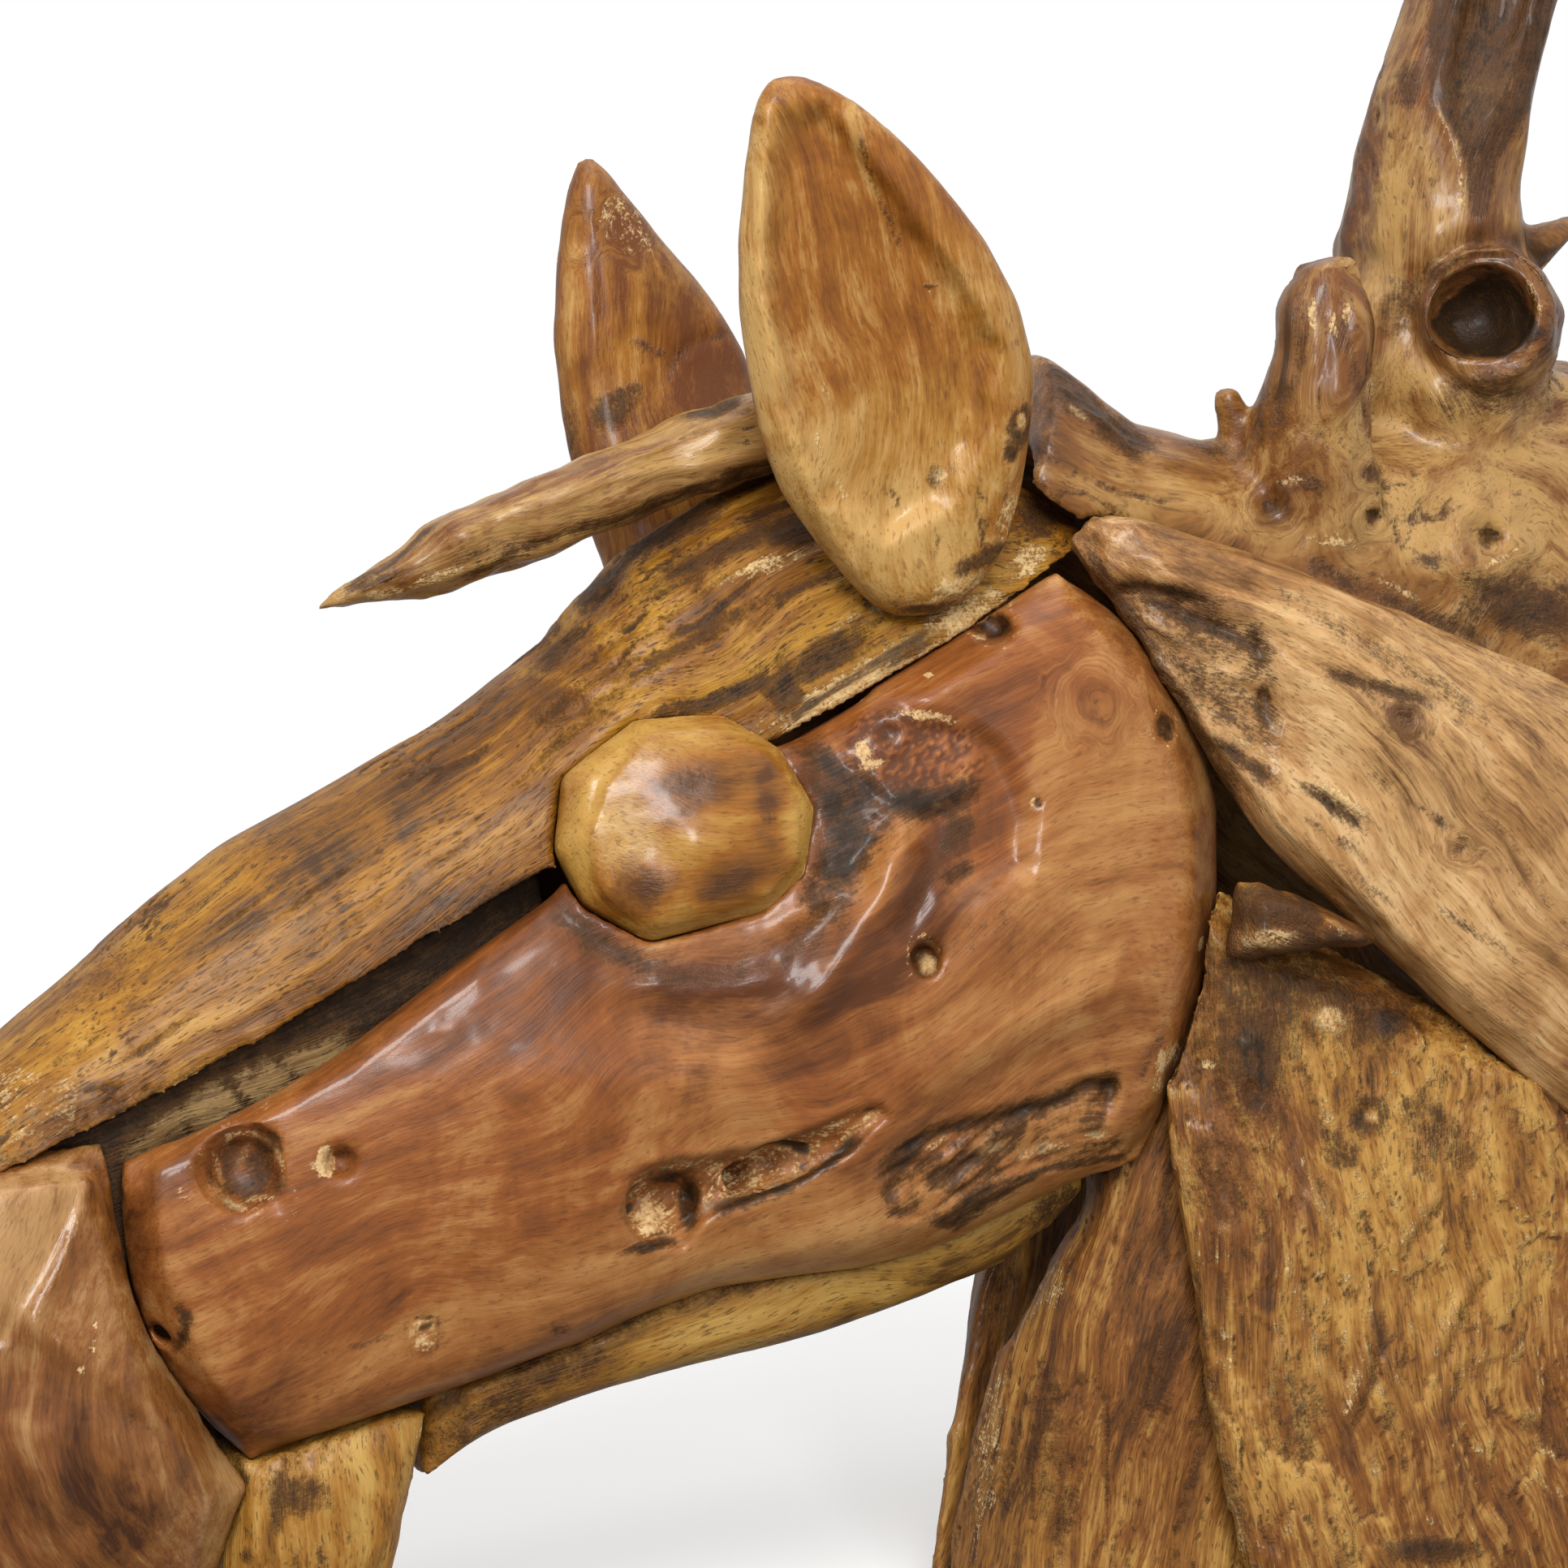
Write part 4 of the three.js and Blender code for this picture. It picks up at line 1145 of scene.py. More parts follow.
class HORSE_OT_ears(bpy.types.Operator):
    """Carve the two pointed ears."""

    bl_idname = "horse_head.ears"
    bl_label = "Ears"

    def execute(self, context):
        wood = lacquered_wood("ear_wood", context.scene.horse_head.ear, 0.45, 0.55, 0.55, 0.45, 0.36, 0.4)
        self.near(wood)
        self.far(wood)
        return {"FINISHED"}

    def near(self, wood):
        """The ear towards the viewer, scooped out, with its torn root and a painted highlight on its left
        rim.
        """
        spine = [(45, 415), (40, 520), (5, 612)]
        skin = Skin("near_ear", cell_for(NEAR, True), NEAR, [spine], 3, 60, 1.1, False)
        skin.swells(45.0, 0.6)
        skin.fibres(40.0, 5.0, 0.2, 0.06)
        scoop = skin.within(
            [(3, 597), (16, 602), (40, 570), (64, 537), (77, 513), (72, 480), (58, 456),
             (37, 444), (16, 459), (2, 492), (-5, 534), (-4, 573)], 13.0)
        skin.press -= 8.0 * scoop
        skin.fold([(10, 609), (42, 572), (69, 537), (85, 510)], 3.0, -2.0)
        skin.fold([(-6, 606), (-9, 552), (-5, 510), (10, 459), (28, 426)], 3.0, -2.0)
        # Painted highlight: a narrow paler band along the ear's left rim.
        skin.toned((-13, 552), (8, 80), 0.34)
        skin.toned((7, 486), (18, 36), 0.3, 12)
        skin.toned((79, 522), (14, 40), 0.16, 30)
        skin.toned((37, 444), (34, 26), 0.4)
        skin.toned((10, 600), (18, 14), 0.12)
        skin.warmed((25, 564), (22, 40), 0.2, -15)
        skin.warmed((34, 456), (34, 34), -0.4)
        skin.warmed((46, 525), (10, 17), 0.7)
        skin.toned((46, 525), (9, 15), -0.34)
        skin.toned((67, 501), (14, 26), -0.14)
        skin.fibres(30.0, 3.0, 0.7, 0.3, 27, bell(skin.spot((19, 510), (12, 46), 8)))
        skin.fold([(27, 594), (34, 572), (44, 548)], 1.2, 0.8, 0.5)
        skin.darkened((54, 536), (3, 1.4), 0.6)
        skin.paled((54, 535), (2, 1), 0.6)
        skin.paled((16, 495), (1.6, 7), 0.6, 10)
        skin.paled((13, 478), (1.6, 9), 0.6, 14)
        skin.paled((22, 459), (2, 8), 0.5, 20)
        skin.darkened((88, 485), (6, 10), 0.8, -10)
        skin.paled((88, 486), (2.4, 4.5), 1.0)
        skin.hole((84, 474), (2.6, 4), 1.5)
        skin.darkened((58, 466), (6.5, 6), 0.5)
        skin.paled((58, 466), (4.5, 4), 0.6)
        skin.dent((38, 457), (5, 5), 0.8)
        skin.fold([(33, 460), (41, 461), (43, 452)], 0.9, 0.5, 0.45)
        root = skin.within([(55, 450), (79, 468), (97, 474), (94, 444), (82, 414), (40, 414)], 14.0)
        skin.fibres(26.0, 3.4, 1.0, 0.7, 33, root)
        skin.mark("dull", 0.6 * root)
        skin.paled((69, 426), (20, 6), 0.75, 12)
        skin.paled((58, 419), (16, 3), 0.8, 8)
        skin.paled((82, 447), (5, 20), 0.5, -15)
        skin.darkened((75, 436), (16, 5), 0.7, 32)
        skin.darkened((55, 417), (16, 2.5), 0.7, 8)
        skin.done(wood, "ear_wood")

    def far(self, wood):
        """The ear beyond the poll, with the pale end of a branch in it."""
        spine = [(-45, 400), (-75, 500), (-77, 585)]
        skin = Skin("far_ear", cell_for(NEAR), NEAR, [spine], 4, 50, 1.0, False)
        skin.swells(40.0, 0.7)
        skin.fibres(40.0, 5.0, 0.15, 0.06)
        skin.tone -= 0.12
        stub = skin.within(
            [(-69, 561), (-65, 571), (-56, 570), (-50, 560), (-49, 549), (-57, 545), (-66, 552)], 3.0)
        skin.press -= 0.8 * stub
        skin.mark("pale", 0.32 * stub)
        skin.knot((-58, 559), (7, 9), 0.5, 0.05, 15, 0.3)
        skin.toned((-29, 507), (16, 14), -0.3)
        skin.warmed((-29, 507), (16, 14), 0.5)
        skin.toned((-78, 531), (5, 20), 0.5, 6)
        skin.fold([(-72, 546), (-71, 522), (-69, 507)], 1.6, -1.0)
        skin.knot((-76, 555), (4, 8), 0.3, 0.1, 0, 0.3)
        skin.darkened((-62, 492), (12, 8), 0.7, 40)
        skin.darkened((-50, 513), (10, 3), 0.35, -20)
        skin.fold([(-45, 501), (-38, 514), (-18, 520)], 2.0, 1.2, 0.35)
        skin.darkened((-80, 480), (6, 14), 0.4)
        skin.done(wood, "ear_wood")


class HORSE_OT_eyes(bpy.types.Operator):
    """Carve the two knob eyes."""

    bl_idname = "horse_head.eyes"
    bl_label = "Eyes"

    def execute(self, context):
        wood = lacquered_wood("eye_wood", context.scene.horse_head.eye, 0.5, 0.3, 0.35, 0.45, 0.32, 0.25)
        spine = [(-90, 330), (-35, 322), (20, 338)]
        for node, side, seed in sides("eye"):
            skin = Skin(node, cell_for(side, True), side, [spine], seed + 1, 6)
            skin.swells(25.0, 0.4)
            skin.fibres(30.0, 5.0, 0.1)
            skin.tone += 0.12
            self.facets(skin)
            for at, size, turn in (
                ((-35, 353), (18, 9), 10),
                ((-20, 316), (16, 8), 25),
                ((-50, 315), (10, 8), 0),
                ((-6, 342), (6, 11), 0),
            ):
                skin.toned(at, size, -0.5, turn)
                skin.warmed(at, size, 0.3, turn)
                skin.darkened(at, (size[0] * 0.7, size[1] * 0.7), 0.3, turn)
            skin.toned((-74, 333), (10, 26), 0.22)
            skin.toned((7, 333), (6, 28), 0.16)
            skin.toned((-35, 370), (30, 5), 0.15)
            skin.toned((-53, 330), (11, 10), 0.2)
            skin.toned((-29, 302), (24, 5), 0.2, 12)
            skin.paled((-23, 294), (34, 2.4), 0.7, 12)
            skin.paled((-68, 338), (1.6, 2.4), 0.7)
            skin.fold([(-55, 298), (-52, 290)], 1.2, -1.6, 0.0, 0.8)
            skin.darkened((-20, 289), (26, 2), 0.5, 12)
            skin.done(wood, "eye_wood")
        return {"FINISHED"}

    def facets(self, skin):
        """The pared face with its crisp edge, and the dome in the middle."""
        face = skin.within(
            [(-51, 370), (-26, 374), (-6, 364), (5, 346), (6, 324), (-6, 310), (-29, 301),
             (-52, 297), (-68, 310), (-73, 330), (-67, 352)], 2.4)
        skin.press -= 2.0 * (1.0 - face) * skin.seen
        skin.tone += 0.2 * (1.0 - face)
        skin.dent((-26, 332), (20, 17), -2.6)
        skin.fold([(-57, 356), (-61, 336), (-56, 314)], 9.0, 1.8)
        skin.warmed((-57, 333), (10, 24), -0.4)
        skin.fold([(-50, 342), (-39, 315), (-11, 318)], 6.0, 1.2)


class HORSE_OT_forelock(bpy.types.Operator):
    """Carve the gnarled root that lies over the brow."""

    bl_idname = "horse_head.forelock"
    bl_label = "Forelock"

    def execute(self, context):
        wood = lacquered_wood("forelock_wood", context.scene.horse_head.root, 0.6, 0.7, 0.5, 0.4, 0.34, 0.5)
        spine = [(-174, 416), (-100, 442), (0, 480), (30, 485)]
        skin = Skin("forelock", cell_for(NEAR, True), ASTRIDE, [spine], 5)
        skin.swells(20.0, 2.0)
        skin.fibres(40.0, 6.0, 1.1, 0.3)
        skin.checks(35.0, 5.0, 0.8, 0.0, 0.6)
        skin.tone += 0.3
        skin.toned((-98, 450), (40, 7), 0.26, 22)
        skin.toned((-41, 471), (40, 8), 0.16, 14)
        skin.fold([(-98, 454), (-62, 465), (-20, 472)], 3.0, -1.2)
        skin.fold([(-122, 426), (-80, 446), (-20, 460)], 2.6, 1.0, 0.55)
        skin.fold([(-53, 484), (-35, 494), (-12, 498)], 4.0, -2.5, 0.0, 0.45)
        skin.fold([(-50, 488), (-32, 488), (-14, 494)], 2.2, 2.5, 0.8)
        skin.darkened((-26, 462), (34, 3), 0.6, 16)
        skin.darkened((-149, 428), (14, 4), 0.6, 24)
        skin.fold([(-164, 422), (-146, 435), (-128, 450)], 2.0, 1.2, 0.6)
        skin.paled((-128, 428), (14, 2.5), 0.6, 22)
        skin.paled((-149, 421), (12, 2.0), 0.6, 10)
        skin.dent((-14, 470), (6, 5), -2.5)
        skin.darkened((-18, 465), (6, 4), 0.7)
        skin.dent((-50, 478), (5, 5), -1.5)
        skin.done(wood, "root_wood")
        return {"FINISHED"}


class HORSE_OT_muzzles(bpy.types.Operator):
    """Carve the two faceted ends of the muzzle."""

    bl_idname = "horse_head.muzzles"
    bl_label = "Muzzles"

    def execute(self, context):
        tones = context.scene.horse_head.muzzle
        wood = lacquered_wood("muzzle_wood", tones, 0.6, 0.45, 0.4, 0.3, 0.30, 0.3)
        spine = [(-250, 210), (-280, 120), (-230, 40)]
        for node, side, seed in sides("muzzle"):
            skin = Skin(node, cell_for(side), side, [spine], seed + 2)
            skin.swells(34.0, 0.9)
            skin.fibres(40.0, 6.0, 0.15, 0.06)
            facet = skin.within(
                [(-308, 201), (-275, 211), (-257, 210), (-260, 195), (-272, 168), (-287, 147),
                 (-308, 132)], 4.0)
            skin.press -= 2.4 * facet
            # The facet is painted lighter: partly its paler sawn wood, partly painted light on the face
            # turned up towards the lamps.
            skin.tone += 0.34 * facet
            skin.fold(
                [(-258, 192), (-245, 174), (-237, 144), (-227, 125), (-216, 108), (-200, 103)], 3.4, -2.4)
            skin.toned((-225, 135), (7, 34), 0.3, 28)
            skin.fold([(-258, 209), (-263, 184), (-270, 171), (-283, 140)], 2.4, -1.6, 0.0, 0.2)
            skin.fold([(-246, 124), (-237, 114), (-228, 104)], 4.0, 2.6, 0.3)
            skin.fold([(-271, 108), (-270, 87), (-272, 66)], 6.0, -3.0)
            skin.fold([(-261, 102), (-260, 84), (-263, 66)], 5.0, 2.4, 0.2)
            skin.warmed((-257, 162), (18, 34), 0.3, 10)
            skin.toned((-209, 90), (10, 24), 0.4, -12)
            skin.toned((-272, 87), (26, 16), -0.16)
            skin.fold([(-240, 135), (-224, 123), (-207, 105)], 5.0, 2.2, 0.2)
            skin.fold([(-258, 132), (-242, 114), (-225, 87)], 5.0, 1.8)
            skin.fold([(-251, 135), (-234, 120), (-216, 99)], 3.0, -1.4)
            skin.fold([(-203, 104), (-211, 87), (-218, 64)], 1.8, -1.2)
            skin.fold([(-221, 105), (-222, 87), (-228, 64)], 4.0, 1.6, 0.2)
            skin.paled((-255, 147), (0.9, 10), 0.6, -3)
            skin.paled((-260, 135), (0.8, 4), 0.6, -3)
            skin.paled((-232, 153), (3, 14), 0.6, 28)
            skin.darkened((-228, 147), (2.4, 14), 0.7, 30)
            skin.darkened((-240, 174), (3, 20), 0.5, 10)
            skin.done(wood, "muzzle_wood")
        return {"FINISHED"}


class HORSE_OT_nose_board(bpy.types.Operator):
    """Finish the board that shows in the slit under the log, darkened by painted shadow except for a lit
    strip.
    """

    bl_idname = "horse_head.nose_board"
    bl_label = "Nose Board"

    def execute(self, context):
        wood = lacquered_wood("inner_wood", context.scene.horse_head.inner, 0.9, 0.8, 0.5, 0.6, 0.55, 0.7)
        spine = [(-280, 190), (-150, 250)]
        skin = Skin("nose_board", cell_for(NEAR), ASTRIDE, [spine], 6)
        skin.fibres(50.0, 6.0, 0.4, 0.3)
        # Painted shadow: all but the lit strip is darkened as if the log shaded it, and the strip is
        # painted a little lighter.
        lit = skin.within(
            [(-248, 216), (-212, 243), (-161, 261), (-158, 249), (-200, 231), (-236, 210)], 10.0)
        skin.mark("stain", 0.9 * (1.0 - lit))
        skin.tone += 0.1 * lit
        skin.fold([(-209, 244), (-200, 237), (-195, 230)], 1.6, 0.8, 0.7)
        skin.fold([(-189, 252), (-180, 243), (-176, 237)], 1.2, 0.8, 0.7)
        skin.fold([(-222, 228), (-218, 222)], 1.2, 0.8, 0.7)
        # Painted shadow at the board's top end, under the log.
        skin.darkened((-158, 261), (8, 10), 0.8)
        skin.done(wood, "inner_wood")
        return {"FINISHED"}


class HORSE_OT_jaw(bpy.types.Operator):
    """Carve the lower jaw and the chin."""

    bl_idname = "horse_head.jaw"
    bl_label = "Lower Jaw and Chin"

    def execute(self, context):
        wood = lacquered_wood("jaw_wood", context.scene.horse_head.jaw, 0.8, 0.6, 0.5, 0.7, 0.42, 0.5)
        spine = [(-135, 110), (-20, 150), (110, 195)]
        jaw = Skin("lower_jaw", cell_for(NEAR), ASTRIDE, [spine], 7)
        jaw.swells(40.0, 0.8)
        jaw.fibres(50.0, 6.0, 0.35, 0.1)
        jaw.fold([(-110, 132), (-50, 159), (10, 174), (85, 198)], 6.0, 0.0, 0.4)
        jaw.fold([(-131, 105), (-98, 126), (-62, 147)], 7.0, 0.6, 0.5)
        jaw.warmed((-104, 123), (40, 10), 0.3, 28)
        jaw.darkened((100, 195), (16, 8), 0.6, 30)
        jaw.done(wood, "jaw_wood")
        spine = [(-215, 80), (-210, 20)]
        chin = Skin("chin", cell_for(NEAR), ASTRIDE, [spine], 8)
        chin.swells(25.0, 1.0)
        chin.fibres(20.0, 4.0, 0.6, 0.3)
        chin.tone += 0.16
        chin.rot(20.0, 0.5, 0.3)
        chin.darkened((-179, 90), (16, 8), 0.6, -10)
        chin.darkened((-186, 93), (4, 20), 0.5, -10)
        chin.fold([(-133, 120), (-135, 96), (-138, 66)], 3.0, 0.0, 0.0, 0.5)
        chin.fold([(-152, 111), (-143, 93), (-149, 66)], 3.0, -1.2)
        chin.done(wood, "jaw_wood")
        return {"FINISHED"}


class HORSE_OT_mane_planks(bpy.types.Operator):
    """Carve the two split planks that fall behind the cheeks."""

    bl_idname = "horse_head.mane_planks"
    bl_label = "Mane Planks"

    def execute(self, context):
        wood = lacquered_wood("mane_wood", context.scene.horse_head.mane, 0.5, 0.65, 0.6, 0.5, 0.34, 0.55)
        spine = [(105, 445), (200, 380), (290, 300)]
        for node, side, seed in sides("mane_plank"):
            skin = Skin(node, cell_for(side, True), side, [spine], seed + 3)
            skin.swells(45.0, 1.6)
            skin.fibres(80.0, 9.0, 1.3, 0.16)
            skin.fibres(60.0, 4.0, 0.5, 0.16, 27)
            self.start(skin)
            self.fall(skin)
            skin.done(wood, "mane_wood")
        return {"FINISHED"}

    def start(self, skin):
        """The rounded head of the plank, the groove torn beside it, and painted shade under a splinter."""
        skin.warmed((136, 438), (26, 13), 0.4, -25)
        skin.toned((139, 435), (24, 12), -0.14, -25)
        groove = skin.within(
            [(122, 422), (133, 425), (154, 421), (178, 405), (184, 390), (181, 358), (166, 366),
             (145, 393), (129, 411)], 8.0)
        skin.press -= 3.0 * groove
        skin.fibres(24.0, 3.4, 1.2, 0.5, 39, groove)
        skin.mark("stain", 0.36 * groove)
        skin.mark("dull", 0.3 * groove)
        skin.fold([(118, 425), (139, 424), (160, 419)], 3.0, 2.4, 0.85)
        skin.fold([(128, 422), (154, 412), (182, 399)], 3.0, 2.4, 0.8)
        skin.fold([(130, 416), (151, 402), (174, 387)], 2.2, -1.4, 0.0, 0.3)
        skin.fold([(139, 402), (160, 384), (178, 363)], 2.6, 1.8, 0.6)
        skin.hole((178, 384), (3.5, 6), 2.5, 15)
        skin.darkened((176, 402), (5, 14), 0.6, 12)
        skin.darkened((178, 378), (6, 16), 0.55, 20)
        skin.fold([(160, 373), (172, 367), (183, 358)], 3.4, -3.0, 0.0, 0.45)
        # Painted shade: a dark groove under the splinter's ridge.
        skin.fold([(159, 368), (170, 361), (181, 352)], 2.6, 1.8, 0.85)
        skin.fold([(109, 441), (136, 402), (160, 357), (169, 339)], 4.0, 0.5, 0.6)

    def fall(self, skin):
        """Splinters, knots and long lines down the plank, and a painted highlight on one splinter."""
        # Painted highlight: a thin pale streak along a splinter's edge.
        skin.paled((207, 346), (11, 1.6), 0.9, -33)
        skin.fold([(194, 355), (205, 348), (217, 340)], 2.4, -2.2, 0.0, 0.6)
        skin.fold([(193, 351), (204, 344), (215, 335)], 2.2, 1.4, 0.7)
        skin.fold([(200, 394), (220, 388), (240, 382)], 2.6, 2.0, 0.75)
        skin.darkened((202, 333), (12, 2.5), 0.4, -36)
        skin.knot((231, 377), (7, 6), 0.9, 0.3, -30)
        skin.darkened((231, 377), (7, 6), 0.4)
        skin.knot((250, 328), 5.0, 0.7, 0.3)
        skin.darkened((256, 297), (24, 2.5), 0.35, -35)
        skin.darkened((211, 318), (26, 2), 0.35, -38)
        skin.darkened((241, 339), (30, 2), 0.3, -36)
        skin.toned((220, 393), (60, 8), 0.16, -34)
        skin.toned((238, 303), (60, 20), 0.24, -36)
        skin.warmed((190, 402), (50, 14), -0.2, -36)
        skin.fold([(178, 426), (220, 402), (265, 372)], 5.0, 2.0, 0.25)
        skin.fold([(202, 366), (238, 342), (280, 309)], 4.0, 1.2, 0.15)
        skin.fold([(178, 342), (220, 306), (280, 252)], 5.0, -1.4)


class HORSE_OT_mane_root(bpy.types.Operator):
    """Carve the forked root that makes the crest of the mane."""

    bl_idname = "horse_head.mane_root"
    bl_label = "Mane Root"

    def execute(self, context):
        wood = lacquered_wood("root_wood", context.scene.horse_head.root, 0.8, 0.5, 0.45, 0.5, 0.34, 0.45)
        crest = [(90, 500), (160, 480), (260, 480), (330, 430)]
        branch = [(255, 470), (235, 560), (262, 640), (270, 720)]
        stump = [(198, 470), (197, 560)]
        skin = Skin("mane_root", cell_for(NEAR), ASTRIDE, [crest, branch, stump], 9, 12, 1.0, False)
        skin.swells(26.0, 1.5)
        skin.fibres(45.0, 9.0, 0.5, 0.1)
        skin.checks(40.0, 6.0, 0.8, 0.1, 0.5)
        self.knots(skin)
        self.crest(skin)
        self.limbs(skin)
        skin.done(wood, "root_wood")
        return {"FINISHED"}

    def knots(self, skin):
        """Broken twig ends."""
        skin.knot((180, 456), 7.0, 1.2, 0.3)
        skin.hole((179, 455), 2.4, 2.0)
        skin.knot((217, 450), 6.0, 1.4, 0.3)
        skin.hole((218, 452), (4.5, 2.2), 3.0, -20)
        skin.dent((255, 434), (18, 20), -5.0)
        skin.knot((260, 442), 13.0, 2.4, 0.2)
        skin.hole((262, 444), (6, 3.4), 4.0, -15)
        skin.knot((217, 467), 5.0, 1.0, 0.6)
        skin.dent((232, 459), (9, 8), -2.0)
        skin.dent((256, 459), (8, 7), -2.5)
        skin.dent((244, 432), (7, 5), -2.0)

    def crest(self, skin):
        """Stains, pale scars and a patch of painted shade along the crest."""
        scorch = skin.within(
            [(96, 510), (103, 507), (121, 492), (139, 478), (130, 471), (115, 483), (97, 498)], 8.0)
        skin.mark("stain", 0.8 * scorch)
        skin.fibres(20.0, 3.0, 0.8, 0.0, 35, scorch)
        skin.paled((109, 489), (12, 2.5), 0.5, -42)
        skin.darkened((157, 476), (12, 6), 0.45, -20)
        skin.darkened((196, 462), (14, 5), 0.35)
        # Painted shade: the dark patch at the right end of the crest.
        skin.darkened((274, 418), (28, 14), 0.75, -15)
        skin.darkened((238, 435), (9, 4), 0.45)
        skin.paled((202, 442), (13, 3), 0.65, -6)
        skin.paled((187, 464), (9, 3), 0.45)
        skin.paled((226, 424), (14, 3), 0.5, -25)
        skin.paled((265, 435), (10, 3), 0.5, 30)
        skin.toned((142, 465), (40, 10), 0.16, -25)
        skin.warmed((160, 450), (40, 12), -0.2, -15)
        skin.fold([(190, 436), (220, 421), (265, 402)], 4.0, 1.5, 0.6)

    def limbs(self, skin):
        """The rough stump, the hollow branch and the mouth of the broken limb."""
        skin.height += 5.0 * bell(skin.spot((188, 526), (9, 13)))
        skin.height += 1.2 * bell(skin.spot((217, 525), (7, 16)))
        skin.height -= 5.0 * bell(skin.spot((214, 545), (9, 7)))
        skin.height -= 3.0 * bell(skin.spot((188, 543), (7, 6)))
        skin.fold([(193, 537), (191, 507), (181, 483)], 3.0, 2.0, 0.3)
        skin.fold([(207, 537), (208, 507), (217, 480)], 3.0, 2.0, 0.3)
        skin.fold([(200, 531), (200, 501)], 2.2, 1.6, 0.25)
        skin.paled((196, 526), (1.6, 8), 0.8)
        skin.paled((203, 524), (1.4, 8), 0.8)
        skin.paled((208, 526), (1.6, 6), 0.8)
        skin.paled((217, 498), (3, 8), 0.5)
        skin.toned((205, 486), (16, 10), 0.2)
        hollow = skin.within(
            [(237, 660), (239, 624), (238, 603), (250, 590), (252, 561), (260, 560), (263, 582),
             (274, 597), (282, 624), (288, 660)], 5.0)
        skin.mark("stain", 0.7 * hollow)
        skin.fibres(50.0, 4.0, 0.8, 0.3, 45, hollow)
        skin.fold([(239, 606), (249, 588), (251, 561)], 2.0, -1.2, 0.0, 0.5)
        skin.darkened((231, 609), (6, 12), 0.6)
        skin.toned((217, 546), (16, 40), 0.2)
        skin.toned((226, 582), (10, 34), 0.14)
        reach = skin.spot((260, 526), (23, 19), 14) / (1.0 + skin.ragged)
        swollen = skin.seen * smooth_step(225.0, 243.0, skin.u)
        skin.press += 6.0 * bell(reach, 1.75, 0.45) * swollen
        skin.press -= 8.0 * bell(reach, 1.1, 0.3) * skin.seen
        mouth = skin.within(
            [(239, 522), (243, 529), (252, 536), (260, 541), (269, 537), (275, 528), (281, 518),
             (275, 515), (268, 510), (258, 510), (250, 510), (244, 513)], 3.0)
        skin.mark("stain", 1.2 * mouth)
        skin.mark("dull", mouth)
        skin.fold([(271, 540), (278, 530), (282, 520)], 2.4, 0.0, 0.0, 0.4)
        skin.darkened((227, 530), (9, 16), 0.5, -20)
        skin.darkened((259, 496), (22, 11), 0.45, 5)
        skin.warmed((226, 576), (30, 80), 0.55)
        skin.darkened((243, 543), (14, 6), 0.4, 30)
        skin.warmed((274, 501), (18, 30), 0.4)
        skin.toned((220, 450), (70, 26), 0.36)
        skin.toned((268, 456), (36, 36), 0.32)
        skin.toned((256, 492), (40, 16), 0.32)


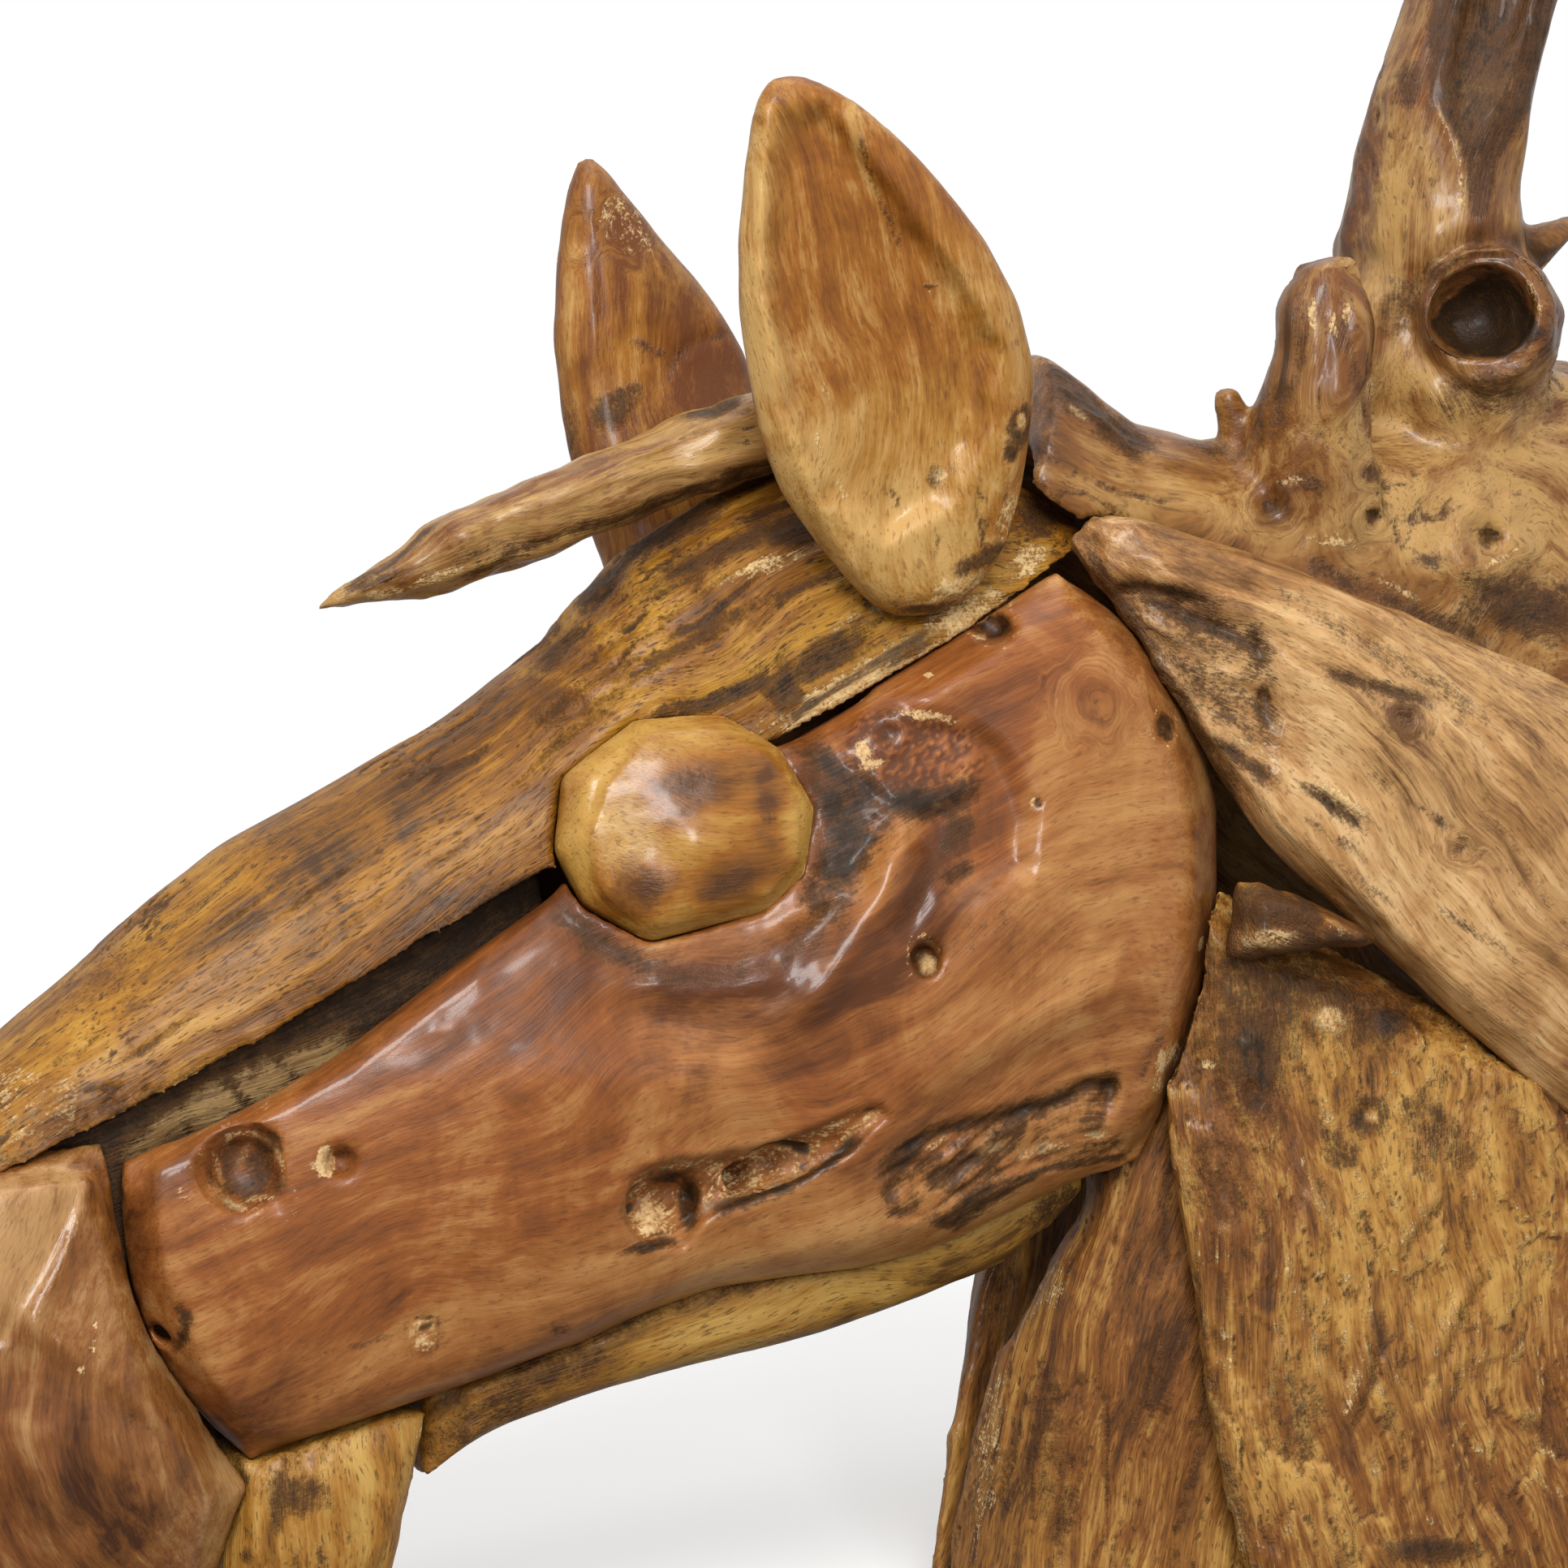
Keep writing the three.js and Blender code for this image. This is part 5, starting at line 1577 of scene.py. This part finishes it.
class HORSE_OT_neck_planks(bpy.types.Operator):
    """Carve the upright planks and wedges of the neck."""

    bl_idname = "horse_head.neck_planks"
    bl_label = "Neck Planks"

    def execute(self, context):
        wood = lacquered_wood("neck_wood", context.scene.horse_head.neck, 0.7, 0.7, 0.8, 0.6, 0.42, 0.6)
        fall = [(165, 320), (190, 150), (235, 0)]
        for node, side, seed in sides("neck_plank"):
            self.plank(Skin(node, cell_for(side, True), side, [fall], seed + 4), wood)
        for node, side, seed in sides("front_plank"):
            self.front(Skin(node, cell_for(side), side, [[(130, 220), (90, 100), (70, 0)]], seed + 5), wood)
        for node, side, seed in sides("neck_wedge"):
            self.wedge(Skin(node, cell_for(side), side, [[(160, 310), (260, 270)]], seed + 6), wood)
        nape = [(290, 420), (285, 200), (290, 0)]
        self.back(Skin("back_plank", cell_for(FAR), ASTRIDE, [nape], 12), wood)
        return {"FINISHED"}

    def plank(self, skin, wood):
        """The broad face below the mane, torn away in layers, with painted shade under the torn steps and
        lips.
        """
        skin.swells(50.0, 1.4)
        skin.torn(42.0, 34.0, 8.0, 2.6)
        skin.fibres(18.0, 2.6, 0.35, 0.2)
        skin.rot(40.0, 0.36, 0.35)
        dark = skin.within(
            [(151, 294), (202, 288), (238, 270), (220, 252), (193, 261), (181, 228),
             (166, 228), (154, 252)], 26.0)
        skin.mark("stain", 0.5 * dark)
        skin.darkened((174, 252), (9, 20), 0.85, 8)
        skin.hole((173, 236), (4, 7), 3.0, 8)
        skin.darkened((196, 278), (22, 6), 0.75, -18)
        skin.darkened((224, 265), (11, 9), 0.85)
        skin.dent((217, 263), (6, 5), 2.0)
        skin.dent((229, 265), (6, 6), -2.0)
        skin.darkened((217, 229), (9, 9), 0.7)
        skin.hole((216, 229), (6, 5), 2.0)
        skin.paled((218, 229), (4, 3), 0.6)
        skin.paled((202, 265), (8, 6), 0.8, -30)
        skin.paled((157, 248), (4, 3), 0.6)
        skin.paled((149, 210), (5, 10), 0.5)
        skin.darkened((160, 207), (16, 24), 0.3)
        skin.warmed((172, 201), (22, 30), 0.5)
        skin.toned((226, 192), (40, 40), 0.14)
        skin.toned((250, 126), (40, 40), 0.12)
        skin.darkened((190, 120), (16, 22), 0.34)
        skin.darkened((238, 69), (20, 6), 0.8)
        # Each lip is a pale ridge with a dark groove just below and to the right: the groove is painted
        # shade under the lip.
        for lip in (
            [(192, 216), (196, 202), (202, 190)],
            [(244, 202), (236, 192), (226, 178)],
            [(259, 174), (250, 156), (240, 136)],
            [(187, 174), (194, 150), (202, 132)],
            [(220, 162), (217, 138), (208, 114)],
        ):
            skin.fold(lip, 2.4, -1.8, 0.0, 0.4)
            skin.fold([(across + 3.5, up - 1.5) for across, up in lip], 2.0, 1.6, 0.3)
        skin.fold([(151, 174), (157, 135), (172, 66)], 2.6, 1.2, 0.4)
        skin.fold([(148, 168), (155, 126), (170, 66)], 1.6, -0.8, 0.0, 0.5)
        skin.done(wood, "neck_wood")

    def front(self, skin, wood):
        """The darker plank at the throat, weathered grey along its edge."""
        skin.swells(40.0, 1.2)
        skin.fibres(80.0, 6.0, 0.7, 0.25)
        skin.checks(60.0, 6.0, 0.9, -0.1, 0.5)
        skin.warmed((127, 147), (20, 60), 0.5)
        skin.paled((75, 102), (7, 50), 0.36, -8)
        skin.paled((97, 165), (9, 20), 0.3, -20)
        skin.darkened((100, 102), (10, 50), 0.3, 5)
        skin.darkened((64, 132), (5, 40), 0.5)
        skin.done(wood, "neck_wood")

    def wedge(self, skin, wood):
        """The short block behind the cheek."""
        skin.swells(25.0, 1.2)
        skin.fibres(40.0, 6.0, 0.7, 0.4)
        skin.rot(24.0, 0.6, 0.1)
        skin.tone -= 0.08
        skin.paled((178, 295), (14, 6), 0.6, 5)
        skin.darkened((178, 309), (20, 6), 0.6, -20)
        skin.paled((205, 297), (14, 4), 0.4, -10)
        skin.done(wood, "neck_wood")

    def back(self, skin, wood):
        """The plain plank down the back of the neck."""
        skin.swells(50.0, 1.4)
        skin.fibres(70.0, 7.0, 0.7, 0.25)
        skin.checks(60.0, 7.0, 0.9, 0.0, 0.5)
        skin.done(wood, "neck_wood")


class HORSE_OT_stage(bpy.types.Operator):
    """Lay the floor, hang the backdrop, set the lights and place the camera."""

    bl_idname = "horse_head.stage"
    bl_label = "Stage"

    def execute(self, context):
        scene = context.scene
        settings = scene.horse_head.stage
        scene.view_settings.view_transform = "Standard"
        scene.view_settings.look = "None"
        self.floor(scene, settings)
        self.air(scene, settings)
        middle = Vector(SHEET_CENTRE) * MM
        for name, place, size in LAMPS:
            power = getattr(settings, name + "_power")
            self.softbox(scene, name + "_light", place, middle, size, power)
        self.camera(scene)
        return {"FINISHED"}

    def floor(self, scene, settings):
        """A pale floor that throws no light up at the wood, so undersides keep their shade."""
        bm = bmesh.new()
        bmesh.ops.create_grid(bm, x_segments=1, y_segments=1, size=settings.floor_size)
        mesh = bpy.data.meshes.new("floor")
        bm.to_mesh(mesh)
        bm.free()
        floor = bpy.data.objects.new("floor", mesh)
        floor.location.z = -settings.floor_gap
        floor.visible_diffuse = False
        floor.visible_glossy = False
        floor.visible_shadow = False
        nodes = Nodes("floor_paint")
        shader = nodes.add("ShaderNodeBsdfDiffuse")
        shader.inputs["Color"].default_value = opaque(settings.floor)
        output = nodes.add("ShaderNodeOutputMaterial")
        nodes.link(shader.outputs["BSDF"], output.inputs["Surface"])
        mesh.materials.append(nodes.material)
        scene.collection.objects.link(floor)

    def air(self, scene, settings):
        """A white backdrop, and even light that is brighter from above."""
        world = bpy.data.worlds.new("studio")
        world.use_nodes = True
        tree = world.node_tree
        backdrop = tree.nodes["Background"]
        backdrop.inputs["Color"].default_value = opaque(settings.air)
        dome = tree.nodes.new("ShaderNodeBackground")
        dome.inputs["Color"].default_value = opaque(settings.air)
        place = tree.nodes.new("ShaderNodeTexCoord")
        height = tree.nodes.new("ShaderNodeSeparateXYZ")
        tree.links.new(place.outputs["Generated"], height.inputs["Vector"])
        spread = tree.nodes.new("ShaderNodeMapRange")
        spread.inputs["From Min"].default_value = -1.0
        spread.inputs["To Min"].default_value = settings.air_below
        spread.inputs["To Max"].default_value = settings.air_above
        tree.links.new(height.outputs["Z"], spread.inputs["Value"])
        tree.links.new(spread.outputs["Result"], dome.inputs["Strength"])
        path = tree.nodes.new("ShaderNodeLightPath")
        both = tree.nodes.new("ShaderNodeMixShader")
        tree.links.new(path.outputs["Is Camera Ray"], both.inputs["Fac"])
        tree.links.new(dome.outputs["Background"], both.inputs[1])
        tree.links.new(backdrop.outputs["Background"], both.inputs[2])
        tree.links.new(both.outputs["Shader"], tree.nodes["World Output"].inputs["Surface"])
        scene.world = world

    def softbox(self, scene, name, place, target, size, power):
        """A square area light aimed at a point."""
        light = bpy.data.lights.new(name, "AREA")
        light.energy = power
        light.size = size
        lamp = bpy.data.objects.new(name, light)
        lamp.location = place
        lamp.rotation_euler = (target - Vector(place)).to_track_quat("-Z", "Y").to_euler()
        scene.collection.objects.link(lamp)

    def camera(self, scene):
        """A camera where the photograph was taken."""
        lens = bpy.data.cameras.new("camera")
        lens.sensor_width = SENSOR_WIDTH
        lens.lens = SENSOR_WIDTH * VIEW_DISTANCE / SHEET_SIZE
        lens.clip_end = FARTHEST
        camera = bpy.data.objects.new("camera", lens)
        camera.location = Vector(EYE_POINT) * MM
        camera.rotation_euler = Vector(FORWARD).to_track_quat("-Z", "Y").to_euler()
        scene.collection.objects.link(camera)
        scene.camera = camera


PIECES = (
    HORSE_OT_cheeks,
    HORSE_OT_forehead_log,
    HORSE_OT_ears,
    HORSE_OT_eyes,
    HORSE_OT_forelock,
    HORSE_OT_muzzles,
    HORSE_OT_nose_board,
    HORSE_OT_jaw,
    HORSE_OT_mane_planks,
    HORSE_OT_mane_root,
    HORSE_OT_neck_planks,
    HORSE_OT_stage,
)


class HORSE_PT_panel(bpy.types.Panel):
    """Lists the pieces of the horse head."""

    bl_idname = "HORSE_PT_panel"
    bl_label = "Horse Head"
    bl_space_type = "VIEW_3D"
    bl_region_type = "UI"
    bl_category = "Horse Head"

    def draw(self, context):
        for piece in PIECES:
            self.layout.operator(piece.bl_idname)


GROUPS = (
    CheekWood,
    LogWood,
    EarWood,
    EyeWood,
    MuzzleWood,
    JawWood,
    ManeWood,
    RootWood,
    NeckWood,
    InnerWood,
    CarvingSizes,
    StageSettings,
    HorseHeadSettings,
)


def register():
    for group in (*GROUPS, *PIECES, HORSE_PT_panel):
        bpy.utils.register_class(group)
    bpy.types.Scene.horse_head = bpy.props.PointerProperty(type=HorseHeadSettings)


def unregister():
    del bpy.types.Scene.horse_head
    for group in reversed((*GROUPS, *PIECES, HORSE_PT_panel)):
        bpy.utils.unregister_class(group)


def main():
    """Makes every piece and the stage."""
    register()
    for piece in PIECES:
        group, name = piece.bl_idname.split(".")
        getattr(getattr(bpy.ops, group), name)()


if __name__ == "__main__":
    main()
